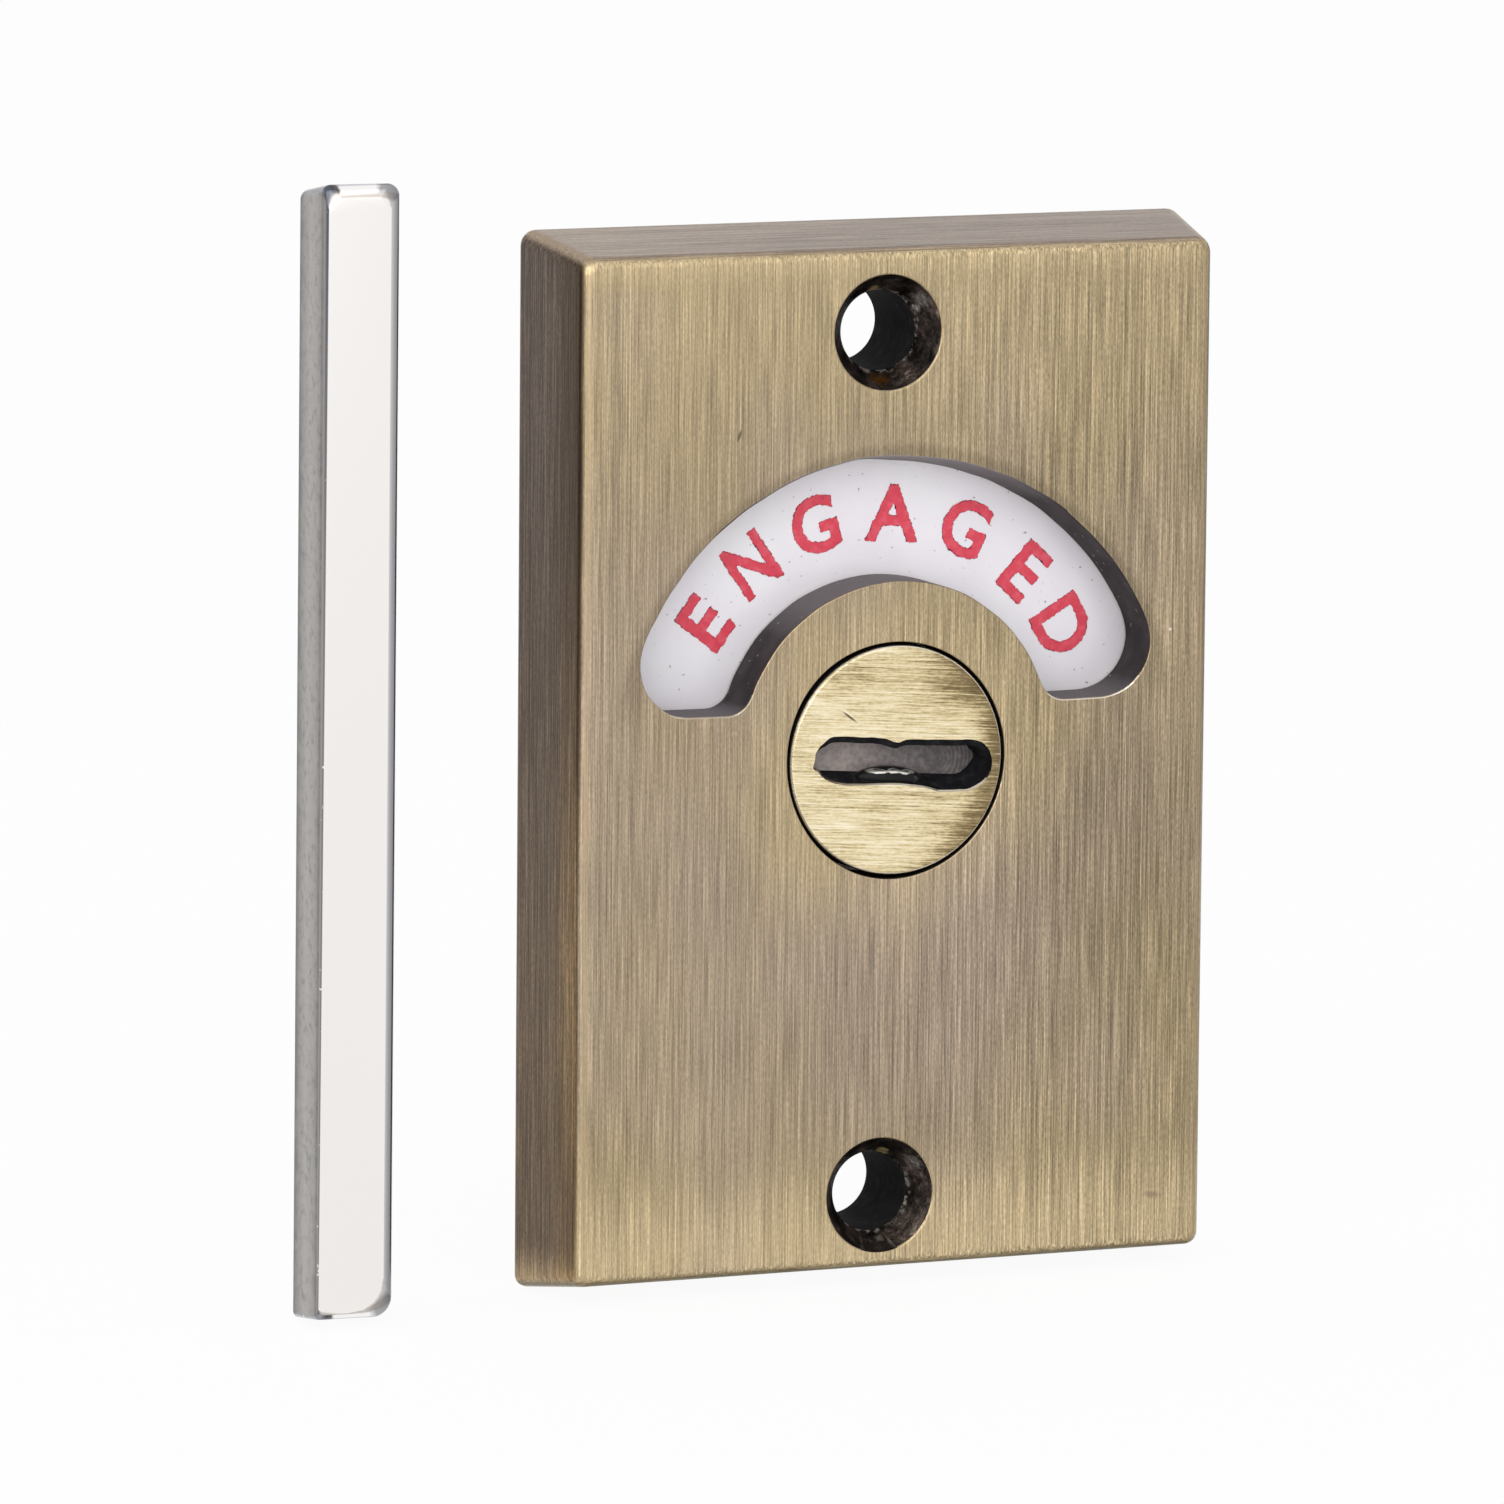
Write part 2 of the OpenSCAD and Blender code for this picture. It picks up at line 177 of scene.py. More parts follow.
# Brass that is blackened, brushed with a belt and lacquered. The front shows golden brass through a mauve
# grey patina in fine upright lines; the sides and the underside are painted darker and browner as shade, the
# top is grey.
antiqueSet = {
    "layers": [(0.1, 6, 0.68), (0.13, 28, 0.44), (0.3, 20, 0.2), (0.1, 0.4, 0.38)],
    "contrast": 12,  # how much a line stands out
    "livelier": (-8, 10, 1.35),  # lines stand out more towards the right: start, end and the factor
    "patina": [(0.25, "#a39280"), (0.8, "#a59475")],  # thick and mauve, thin and golden
    "clouds": [(9, 18, 0.9)],
    # where the patina is thinner or thicker, and where the belt pressed harder or less, on the front, the
    # sides and the top: axis or place, start and end in mm, and the change
    "thinner": [("Z", 14, 33, 0.3), ("Z", 35, 37, 0.25), ("Z", -24, -35, 0.3), ((0, 0), 17, 9, 0.25),
                ((19, -26), 16, 4, 0.2), ((2, -20), 18, 6, -0.2), ((22, 28), 22, 4, 0.12)],
    "bands": [("Z", -28.5, -36, 0.13), ("Z", 35.6, 37.4, 0.06), ("X", -23.4, -24.9, 0.05),
              ("Z", 18, 37, 0.06), ("X", 4, 22, -0.035), ((0, 0), 15.5, 9.5, 0.06),
              ((19, -9), 17, 3, -0.06), ((2, -22), 14, 4, -0.03)],
    "sideBands": [("Z", 22, -16, 0.09), ("Z", 30, 0, -0.045), ("Z", -20, -34, -0.04),
                  ("Z", -35, -39.4, 0.36)],
    "topBands": [("X", -4, -24, 0.07)],
    "windowShade": (23.1, 22.2, -0.12),  # painted shade along the window's upper edge, by distance
    "windowShadeHeights": (3, 8),
    # painted shade: the sides and, below them, the underside take tones darker than the front's
    "side": [(0.22, "#3f352d"), (0.5, "#5f5247"), (0.66, "#7b6c5b"), (0.9, "#b7a184")],
    "sideTints": ("#fff8ea", "#f4f6ff"),  # warmer towards the foot, greyer towards the top
    "tintHeights": (-30, 25),
    "strip": "#fff5de",  # a warm strip on the sides, right behind the front arris
    "stripDepths": (4.8, 0.8),
    "stripGold": (18, -10, -0.12, 0.13),  # dark above the first height and golden below the second
    "stripFade": (-20, -33, 0.1),  # fades between these heights to this share
    "top": [(0.24, "#6f6259"), (0.5, "#8b7c71"), (0.76, "#ac9a85")],
    "under": [(0.3, "#40372a"), (0.5, "#63563d"), (0.7, "#8a7a57")],
    # between these heights the arris gets sharper, and the front's own tone reaches further round it
    "keener": (14, -12, 0.38, 0.66),
    "arris": (0.32, 0.2, "#a08d70"),  # how far it faces sideways, give or take, and its tone: worn brass and a painted highlight
    # a nick, a smudge and a speck
    "marks": [(-12.9, 24.7, 0.17, 0.6, 20, "#564c42", 0.8), (21.4, -34.1, 0.9, 0.35, 8, "#6d6152", 0.45),
              (22.3, 8.8, 0.16, 0.16, 0, "#efe8d8", 0.8)],
    "roughness": (0.4, 0.3),
    "lineDepth": 0.004,
}


def antiqueBrass():
    spec = antiqueSet
    material, tree, shader, place = newMaterial("antiqueBrass", Metallic=1.0)
    normal = addNode(tree, "ShaderNodeTexCoord").outputs["Normal"]
    facing = addNode(tree, "ShaderNodeSeparateXYZ", {0: normal})
    at = addNode(tree, "ShaderNodeSeparateXYZ", {0: place})
    upright = addNode(tree, "ShaderNodeMath", {0: facing.outputs["Z"]}, operation="ABSOLUTE")
    onEnd = addNode(tree, "ShaderNodeMath", {0: upright.outputs[0], 1: 0.6}, operation="GREATER_THAN")
    total, finest = brushField(tree, place, onEnd.outputs[0], spec["layers"])

    # painted shade: a darker band just outside the window's upper edge, above the set heights
    start, end, change = spec["windowShade"]
    fromWindow = addNode(tree, "ShaderNodeVectorMath", {
        0: place, 1: spot(0, 0, windowSet["rise"])}, operation="DISTANCE").outputs["Value"]
    paintedDark = addNode(tree, "ShaderNodeMapRange", {
        "Value": fromWindow, "From Min": start * mm, "From Max": end * mm, "To Max": change},
        interpolation_type="SMOOTHSTEP")
    above = addNode(tree, "ShaderNodeMapRange", {
        "Value": fromWindow, "From Min": (end - 2) * mm, "From Max": (end - 1) * mm})
    low, high = spec["windowShadeHeights"]
    higher = addNode(tree, "ShaderNodeMapRange", {
        "Value": at.outputs["Z"], "From Min": low * mm, "From Max": high * mm})
    paintedDark = addNode(tree, "ShaderNodeMath", {0: paintedDark.outputs[0], 1: above.outputs[0]}, operation="MULTIPLY")

    start, end, factor = spec["livelier"]
    lively = addNode(tree, "ShaderNodeMapRange", {
        "Value": at.outputs["X"], "From Min": start * mm, "From Max": end * mm,
        "To Min": 1.0, "To Max": factor})
    lines = addNode(tree, "ShaderNodeMath", {0: total, 1: 0.5}, operation="SUBTRACT")
    lines = addNode(tree, "ShaderNodeMath", {0: lines.outputs[0], 1: lively.outputs[0]}, operation="MULTIPLY")
    linesAndShade = addNode(tree, "ShaderNodeMath", {
        0: paintedDark.outputs[0], 1: higher.outputs[0], 2: lines.outputs[0]}, operation="MULTIPLY_ADD").outputs[0]
    linesAndShade = shiftField(tree, place, linesAndShade, spec["bands"])
    light = addNode(tree, "ShaderNodeMath", {0: spec["contrast"], 1: linesAndShade}, operation="POWER")
    # the hue changes in wide soft clouds only, the lines are lighter and darker shades of it
    clouds = brushField(tree, place, "z", spec["clouds"])[0]
    clouds = shiftField(tree, place, clouds, spec["thinner"])
    hue = addNode(tree, "ShaderNodeValToRGB", {"Fac": clouds}, spec["patina"])
    colour = addNode(tree, "ShaderNodeMix", {
        "Factor": 1.0, "A": hue.outputs["Color"], "B": light.outputs[0]},
        data_type="RGBA", blend_type="MULTIPLY").outputs["Result"]
    colour = paintMarks(tree, place, colour, spec["marks"])

    # the strip behind the arris
    start, end = spec["stripDepths"]
    behind = addNode(tree, "ShaderNodeMapRange", {
        "Value": at.outputs["Y"], "From Min": deep(start), "From Max": deep(end)},
        interpolation_type="SMOOTHSTEP")
    high, low, dark, gold = spec["stripGold"]
    golden = addNode(tree, "ShaderNodeMapRange", {
        "Value": at.outputs["Z"], "From Min": high * mm, "From Max": low * mm,
        "To Min": dark, "To Max": gold})
    high, low, left = spec["stripFade"]
    fading = addNode(tree, "ShaderNodeMapRange", {
        "Value": at.outputs["Z"], "From Min": high * mm, "From Max": low * mm,
        "To Min": 1.0, "To Max": left})
    strip = addNode(tree, "ShaderNodeMath", {
        0: behind.outputs[0], 1: fading.outputs[0]}, operation="MULTIPLY")
    sideTotal = addNode(tree, "ShaderNodeMath", {
        0: strip.outputs[0], 1: golden.outputs[0], 2: total}, operation="MULTIPLY_ADD").outputs[0]
    # greyer and darker at the top, and lighter in the last millimetres above the foot
    sideTotal = shiftField(tree, place, sideTotal, spec["sideBands"])
    topTotal = shiftField(tree, place, total, spec["topBands"])
    low, high = spec["tintHeights"]
    upward = addNode(tree, "ShaderNodeMapRange", {
        "Value": at.outputs["Z"], "From Min": low * mm, "From Max": high * mm})
    warm, grey = (linear(code) for code in spec["sideTints"])
    tint = addNode(tree, "ShaderNodeMix", {
        "Factor": upward.outputs[0], "A": warm, "B": grey}, data_type="RGBA")
    tint = addNode(tree, "ShaderNodeMix", {
        "Factor": behind.outputs[0], "A": tint.outputs["Result"], "B": linear(spec["strip"])},
        data_type="RGBA", blend_type="MULTIPLY")

    # where the sides and ends take over from the front; the side and underside tones paint shade
    sideways = addNode(tree, "ShaderNodeMath", {0: facing.outputs["X"]}, operation="ABSOLUTE").outputs[0]
    high, low, broad, sharp = spec["keener"]
    keen = addNode(tree, "ShaderNodeMapRange", {
        "Value": at.outputs["Z"], "From Min": high * mm, "From Max": low * mm,
        "To Min": broad, "To Max": sharp}, interpolation_type="SMOOTHSTEP")
    full = addNode(tree, "ShaderNodeMath", {0: keen.outputs[0], 1: 0.3, 2: 0.77}, operation="MULTIPLY_ADD")
    for tones, field, source, start, end in (
            ("side", sideTotal, sideways, keen.outputs[0], full.outputs[0]),
            ("top", topTotal, facing.outputs["Z"], 0.45, 0.95),
            ("under", total, facing.outputs["Z"], -0.25, -0.8)):
        shade = addNode(tree, "ShaderNodeValToRGB", {"Fac": field}, spec[tones]).outputs["Color"]
        share = addNode(tree, "ShaderNodeMapRange", {
            "Value": source, "From Min": start, "From Max": end}, interpolation_type="SMOOTHSTEP")
        if tones == "side":
            shade = addNode(tree, "ShaderNodeMix", {
                "Factor": 1.0, "A": shade, "B": tint.outputs["Result"]},
                data_type="RGBA", blend_type="MULTIPLY").outputs["Result"]
        colour = addNode(tree, "ShaderNodeMix", {
            "Factor": share.outputs[0], "A": colour, "B": shade}, data_type="RGBA").outputs["Result"]
    # thin pale line on the arris, where handling has worn it, and a painted highlight
    lean, width, code = spec["arris"]
    onArris = addNode(tree, "ShaderNodeMath", {0: sideways, 1: lean, 2: width}, operation="COMPARE")
    patchy = addNode(tree, "ShaderNodeMath", {0: onArris.outputs[0], 1: finest}, operation="MULTIPLY")
    colour = addNode(tree, "ShaderNodeMix", {
        "Factor": patchy.outputs[0], "A": colour, "B": linear(code)}, data_type="RGBA").outputs["Result"]
    rough = addNode(tree, "ShaderNodeMapRange", {
        "Value": total, "From Min": 0.35, "From Max": 0.65,
        "To Min": spec["roughness"][0], "To Max": spec["roughness"][1]})
    finishSurface(tree, shader, colour, (finest, 0.5, spec["lineDepth"]), rough.outputs[0])
    return material


# Brass brushed by hand and lacquered: level streaks on the coin turn, painted shade in brown towards the
# right of its rim, rims rubbed pale with a painted highlight, and plain behind
brightSet = {
    "turn": [(0.08, "#5f5038"), (0.28, "#8d7b59"), (0.4, "#cbb98f"), (0.5, "#e8d8b0"), (0.68, "#fdf4da")],
    "turnLayers": [(0.1, 2.6, 0.58), (0.11, 12, 0.42), (0.3, 7, 0.2), (2.2, 6, 0.2), (0.12, 0.35, 0.25)],
    "turnLean": 4.2,  # the streaks lie along the slot, which is a little out of level
    "turnMarks": [(-3.98, 3.58, 1.0, 0.2, 36, "#fff4d6", 0.9),
                  (-3.85, 3.42, 0.95, 0.13, 36, "#5f4f35", 0.95)],
    # painted shade: brown towards the right of the rim, darker near the top and most at its right
    "turnShadeBands": [((-2.2, 0.4), 7.4, 10.7, -0.15), ((-4.5, 1.5), 10.8, 12.6, -0.11), ("Z", 4.2, 7.2, -0.05),
                  ((4.9, 5.5), 3.4, 0.8, -0.11)],
    # the rims: rubbed brass with a painted highlight, dimmed towards the left
    "rim": [(0.3, "#998d77"), (0.5, "#d3c8b4"), (0.7, "#f8f2e6")],
    "rimHighlightBands": [("X", 1, -6, -0.16)],
    "plain": [(0.36, "#8d7650"), (0.5, "#b39b6b"), (0.66, "#d3bd8a")],
    "plainLayers": [(0.14, 9, 0.42), (0.5, 20, 0.32), (6, 14, 0.26)],
    "lineDepth": 0.005,
}


def brushedBrass(name, grain, layers, tones, roughness, bands=(), marks=(), lean=0):
    material, tree, shader, place = newMaterial(name, Metallic=1.0)
    turnedPlace = addNode(tree, "ShaderNodeVectorRotate", {
        "Vector": place, "Angle": math.radians(-lean)}, rotation_type="Y_AXIS")
    total, finest = brushField(tree, turnedPlace.outputs[0], grain, layers)
    total = shiftField(tree, place, total, bands)
    colour = addNode(tree, "ShaderNodeValToRGB", {"Fac": total}, tones).outputs["Color"]
    colour = paintMarks(tree, place, colour, marks)
    rough = addNode(tree, "ShaderNodeMapRange", {
        "Value": total, "From Min": 0.35, "From Max": 0.65, "To Min": roughness[0], "To Max": roughness[1]})
    finishSurface(tree, shader, colour, (finest, 0.5, brightSet["lineDepth"]), rough.outputs[0])
    return material


# Blackened brass under dull lacquer, with a few bare flecks: the walls of the window, and painted shade on
# the rim faces under the arch
wallSet = {
    "clouds": 2.5,  # size in mm
    "tones": [(0.35, "#322e30"), (0.65, "#454042")],
    "flecks": (0.4, "#a4957c"),  # size in mm and tone
    # greyer at the top of the arch, from and to these heights, outside and inside
    "archTone": "#969091",
    "archHeights": (18.5, 23),
    "innerReach": 17,  # a wall nearer to the window's centre than this is the inner one
    "innerLift": 9.2,  # which lies this much lower
    # painted light: the sill faces up and takes this lighter tone
    "sillTone": "#6f6a6d",
    "relief": (0.2, 0.05),
}


def lacqueredWall():
    spec = wallSet
    material, tree, shader, place = newMaterial("lacqueredBlackWallAndRimShade", Roughness=0.5, Specular_IOR_Level=0.06)
    clouds = addNode(tree, "ShaderNodeTexNoise", {
        "Vector": place, "Scale": 1 / (spec["clouds"] * mm), "Detail": 3.0}).outputs["Fac"]
    colour = addNode(tree, "ShaderNodeValToRGB", {"Fac": clouds}, spec["tones"]).outputs["Color"]
    size, fleckTone = spec["flecks"]
    flecks = addNode(tree, "ShaderNodeTexNoise", {"Vector": place, "Scale": 1 / (size * mm), "Detail": 1.0})
    bare = addNode(tree, "ShaderNodeMapRange", {
        "Value": flecks.outputs["Fac"], "From Min": 0.74, "From Max": 0.77})

    at = addNode(tree, "ShaderNodeSeparateXYZ", {0: place})
    fromWindow = addNode(tree, "ShaderNodeVectorMath", {
        0: place, 1: spot(0, 0, windowSet["rise"])}, operation="DISTANCE")
    inner = addNode(tree, "ShaderNodeMath", {
        0: fromWindow.outputs["Value"], 1: spec["innerReach"] * mm}, operation="LESS_THAN")
    lifted = addNode(tree, "ShaderNodeMath", {
        0: inner.outputs[0], 1: spec["innerLift"] * mm, 2: at.outputs["Z"]}, operation="MULTIPLY_ADD")
    low, high = spec["archHeights"]
    onArch = addNode(tree, "ShaderNodeMapRange", {
        "Value": lifted.outputs[0], "From Min": low * mm, "From Max": high * mm, "To Max": 0.85})
    normal = addNode(tree, "ShaderNodeTexCoord").outputs["Normal"]
    facing = addNode(tree, "ShaderNodeSeparateXYZ", {0: normal})
    # painted light on the sill, which faces up
    onSill = addNode(tree, "ShaderNodeMapRange", {
        "Value": facing.outputs["Z"], "From Min": 0.7, "From Max": 0.97, "To Max": 0.9})
    for share, code in ((onArch, spec["archTone"]), (onSill, spec["sillTone"]), (bare, fleckTone)):
        colour = addNode(tree, "ShaderNodeMix", {
            "Factor": share.outputs[0], "A": colour, "B": linear(code)}, data_type="RGBA").outputs["Result"]
    finishSurface(tree, shader, colour, (clouds, *spec["relief"]))
    return material


# Blackened brass in the countersinks: rough from the cutter, brown bronze where the black is thin, with amber
# lacquer pooled at the foot of the upper one, bare brass where the screws have rubbed the edge of the bore,
# and painted highlights on the right of the cones and along the edge of the bore
coneSet = {
    "tones": [(0.36, "#1b1816"), (0.5, "#3a332f"), (0.62, "#63564f"), (0.75, "#a39489")],
    "patches": 1.4,  # sizes in mm
    "grit": 0.5,
    # place with its depth, reach and core in mm, tone: amber lacquer, bare brass in yellow, painted
    # highlights in grey
    "marks": [((-1.2, 1.0, 28.4), 1.9, 0.3, "#6e451b"), ((-1.57, 1.8, 34.97), 1.0, 0.38, "#d9bd86"),
              ((-0.05, 1.8, -29.73), 1.1, 0.42, "#e0c691"), ((1.9, 0.9, 34.2), 1.8, 0.4, "#8f8984"),
              ((1.91, 1.5, 33.55), 0.8, 0.25, "#c4c0bb"), ((2.0, 0.9, -30.5), 1.8, 0.4, "#8d8680"),
              ((-2.0, 1.9, 29.0), 0.9, 0.28, "#c9bfb1"), ((-0.53, 1.2, -36.21), 0.9, 0.2, "#8b8177")],
    "edgeGlint": (1.6, 1.9, "#bdb6ae"),  # painted highlights along the edge of the bore, glints on wet looking lacquer, by depth
    "relief": (0.8, 0.1),
}


def blackenedCone():
    spec = coneSet
    material, tree, shader, place = newMaterial("blackenedCountersink", Metallic=0.85)
    patches = addNode(tree, "ShaderNodeTexNoise", {
        "Vector": place, "Scale": 1 / (spec["patches"] * mm), "Detail": 4.0, "Roughness": 0.65})
    colour = addNode(tree, "ShaderNodeValToRGB", {"Fac": patches.outputs["Fac"]}, spec["tones"])
    grit = addNode(tree, "ShaderNodeTexNoise", {
        "Vector": place, "Scale": 1 / (spec["grit"] * mm), "Detail": 3.0, "Roughness": 0.6}).outputs["Fac"]
    start, end, code = spec["edgeGlint"]
    at = addNode(tree, "ShaderNodeSeparateXYZ", {0: place})
    edging = addNode(tree, "ShaderNodeMapRange", {
        "Value": at.outputs["Y"], "From Min": deep(start), "From Max": deep(end)})
    glint = addNode(tree, "ShaderNodeMapRange", {"Value": grit, "From Min": 0.5, "From Max": 0.62})
    glint = addNode(tree, "ShaderNodeMath", {
        0: glint.outputs[0], 1: edging.outputs[0]}, operation="MULTIPLY")
    colour = addNode(tree, "ShaderNodeMix", {
        "Factor": glint.outputs[0], "A": colour.outputs["Color"], "B": linear(code)},
        data_type="RGBA").outputs["Result"]
    for centre, reach, core, code in spec["marks"]:
        away = addNode(tree, "ShaderNodeVectorMath", {0: place, 1: spot(*centre)}, operation="DISTANCE")
        ragged = addNode(tree, "ShaderNodeMath", {
            0: grit, 1: reach * mm, 2: away.outputs["Value"]}, operation="MULTIPLY_ADD")
        near = addNode(tree, "ShaderNodeMapRange", {
            "Value": ragged.outputs[0], "From Min": reach * mm, "From Max": (core + reach / 2 - 0.1) * mm})
        colour = addNode(tree, "ShaderNodeMix", {
            "Factor": near.outputs[0], "A": colour, "B": linear(code)}, data_type="RGBA").outputs["Result"]
    rough = addNode(tree, "ShaderNodeMapRange", {"Value": grit, "To Min": 0.2, "To Max": 0.5})
    finishSurface(tree, shader, colour, (grit, *spec["relief"]), rough.outputs[0])
    return material


# Soot black left in the bores and on the walls of the coin slot, with a faint grey bloom
sootSet = {
    "mottle": (0.9, 4.0, 0.6),  # size in mm, detail and roughness of the noise
    "tones": [(0.4, "#19181b"), (0.6, "#242325"), (0.75, "#3b3836")],
    "relief": (0.5, 0.06),
}

# Screen printed enamel paint: satin red, thinner and pinker in places
redSet = {
    "mottle": (0.7, 3.0, 0.6),
    "tones": [(0.3, "#da3a50"), (0.5, "#e24156"), (0.7, "#e95a6d")],
    "relief": (0.4, 0.04),
}

# Moulded nylon: milky, satin, with a faint mould grain
nylonSet = {
    "mottle": (0.4, 3.0, 0.5),
    "tones": [(0.3, "#ddd8ca"), (0.7, "#ece8dd")],
    "relief": (0.3, 0.02),
}


# one mottle gives both the colour and the relief
def mottled(name, spec, **values):
    material, tree, shader, place = newMaterial(name, **values)
    size, detail, coarse = spec["mottle"]
    mottle = addNode(tree, "ShaderNodeTexNoise", {
        "Vector": place, "Scale": 1 / (size * mm), "Detail": detail, "Roughness": coarse}).outputs["Fac"]
    colour = addNode(tree, "ShaderNodeValToRGB", {"Fac": mottle}, spec["tones"])
    finishSurface(tree, shader, colour.outputs["Color"], (mottle, *spec["relief"]))
    return material


# Thin black over brass on the slot floor: mauve grey, smooth at the left, with the round marks of the cutter
# at its right end
floorSet = {
    "tones": [(0.35, "#4a4443"), (0.55, "#726a69"), (0.8, "#a0948f")],
    "darker": (-3, 5, 0.46, 0.06),  # from left to right in mm, and how light it is at both
    "specks": (0.4, 0.55),  # size in mm and share
    "cutterAt": (4.0, -0.3),
    "cutterPitch": 1.05,
    "cutterShows": (4.2, 5.2, 0.13),  # from left to right in mm, and the share
    "relief": (0.4, 0.06),
}


def slotFloorBlack():
    spec = floorSet
    material, tree, shader, place = newMaterial("thinBlackSlotFloor", Roughness=0.42)
    at = addNode(tree, "ShaderNodeSeparateXYZ", {0: place})
    left, right, light, dark = spec["darker"]
    shade = addNode(tree, "ShaderNodeMapRange", {
        "Value": at.outputs["X"], "From Min": left * mm, "From Max": right * mm,
        "To Min": light, "To Max": dark})
    size, share = spec["specks"]
    specks = addNode(tree, "ShaderNodeTexNoise", {
        "Vector": place, "Scale": 1 / (size * mm), "Detail": 3.0, "Roughness": 0.6})
    x, z = spec["cutterAt"]
    centred = addNode(tree, "ShaderNodeMapping", {"Vector": place, "Location": (-x * mm, 0, -z * mm)})
    rings = addNode(tree, "ShaderNodeTexWave", {
        "Vector": centred.outputs[0], "Scale": 1 / (spec["cutterPitch"] * mm), "Distortion": 2.5,
        "Detail": 2.0}, wave_type="RINGS", rings_direction="Y")
    left, right, most = spec["cutterShows"]
    atRight = addNode(tree, "ShaderNodeMapRange", {
        "Value": at.outputs["X"], "From Min": left * mm, "From Max": right * mm, "To Max": most},
        interpolation_type="SMOOTHSTEP")
    total = addNode(tree, "ShaderNodeMath", {
        0: specks.outputs["Fac"], 1: share, 2: shade.outputs[0]}, operation="MULTIPLY_ADD")
    total = addNode(tree, "ShaderNodeMath", {
        0: rings.outputs["Fac"], 1: atRight.outputs[0], 2: total.outputs[0]},
        operation="MULTIPLY_ADD").outputs[0]
    colour = addNode(tree, "ShaderNodeValToRGB", {"Fac": total}, spec["tones"])
    finishSurface(tree, shader, colour.outputs["Color"], (total, *spec["relief"]))
    return material


# The burr in the slot: black and glossy, rubbed bare along its ridge by coins and painted near white there as
# a highlight
burrSet = {
    "black": "#1b191a",
    # near white: the bare ridge with a painted highlight
    "bare": "#f3eee6",
    "glintChips": 0.8,  # size in mm
    "ridgeZ": -0.96,  # height of the ridge at the axis
    "ridge": (0.24, 0.05, 0.3),  # the painted highlight on the ridge: reach and core in mm, and the share
    "ends": (2.1, 1.3),  # and it stops between these distances from the axis
    "relief": (0.5, 0.08),
}


def rubbedBurrHighlight():
    spec = burrSet
    material, tree, shader, place = newMaterial("rubbedBurrHighlight", Roughness=0.3, Specular_IOR_Level=0.12)
    glintChips = addNode(tree, "ShaderNodeTexNoise", {
        "Vector": place, "Scale": 1 / (spec["glintChips"] * mm), "Detail": 2.0, "Roughness": 0.5}).outputs["Fac"]
    at = addNode(tree, "ShaderNodeSeparateXYZ", {0: place})
    level = addNode(tree, "ShaderNodeMath", {
        0: at.outputs["X"], 1: -turnSet["slotLean"], 2: at.outputs["Z"]}, operation="MULTIPLY_ADD")
    lift = addNode(tree, "ShaderNodeMath", {
        0: level.outputs[0], 1: spec["ridgeZ"] * mm}, operation="SUBTRACT")
    off = addNode(tree, "ShaderNodeMath", {0: lift.outputs[0]}, operation="ABSOLUTE")
    reach, core, share = spec["ridge"]
    ridge = addNode(tree, "ShaderNodeMapRange", {
        "Value": off.outputs[0], "From Min": reach * mm, "From Max": core * mm, "To Max": share})
    outwards = addNode(tree, "ShaderNodeMath", {0: at.outputs["X"]}, operation="ABSOLUTE")
    inside = addNode(tree, "ShaderNodeMapRange", {
        "Value": outwards.outputs[0], "From Min": spec["ends"][0] * mm, "From Max": spec["ends"][1] * mm})
    total = addNode(tree, "ShaderNodeMath", {0: glintChips, 1: ridge.outputs[0]})
    # painted highlight: the ridge and the chips on it turn near white and metallic, between the ends
    bare = addNode(tree, "ShaderNodeMapRange", {
        "Value": total.outputs[0], "From Min": 0.66, "From Max": 0.76})
    bare = addNode(tree, "ShaderNodeMath", {0: bare.outputs[0], 1: inside.outputs[0]}, operation="MULTIPLY")
    colour = addNode(tree, "ShaderNodeMix", {
        "Factor": bare.outputs[0], "A": linear(spec["black"]), "B": linear(spec["bare"])}, data_type="RGBA")
    tree.links.new(bare.outputs[0], shader.inputs["Metallic"])
    finishSurface(tree, shader, colour.outputs["Result"], (glintChips, *spec["relief"]))
    return material


# Stove enamel on steel: glossy white with a faint violet cast, an orange peel and a few dark specks from
# firing
enamelSet = {
    "clouds": 6,  # sizes in mm
    "tones": [(0.35, "#f2edf4"), (0.65, "#f8f5fa")],
    "specks": (0.35, "#6a6064"),
    "peel": 1.6,
    "relief": (0.2, 0.06),
}


def whiteEnamel():
    spec = enamelSet
    material, tree, shader, place = newMaterial("whiteEnamel", Roughness=0.18)
    clouds = addNode(tree, "ShaderNodeTexNoise", {
        "Vector": place, "Scale": 1 / (spec["clouds"] * mm), "Detail": 3.0})
    white = addNode(tree, "ShaderNodeValToRGB", {"Fac": clouds.outputs["Fac"]}, spec["tones"])
    size, code = spec["specks"]
    specks = addNode(tree, "ShaderNodeTexNoise", {"Vector": place, "Scale": 1 / (size * mm), "Detail": 0.0})
    dark = addNode(tree, "ShaderNodeMapRange", {
        "Value": specks.outputs["Fac"], "From Min": 0.79, "From Max": 0.83, "To Max": 0.6})
    colour = addNode(tree, "ShaderNodeMix", {
        "Factor": dark.outputs[0], "A": white.outputs["Color"], "B": linear(code)}, data_type="RGBA")
    peel = addNode(tree, "ShaderNodeTexNoise", {
        "Vector": place, "Scale": 1 / (spec["peel"] * mm), "Detail": 2.0})
    finishSurface(tree, shader, colour.outputs["Result"], (peel.outputs["Fac"], *spec["relief"]))
    return material
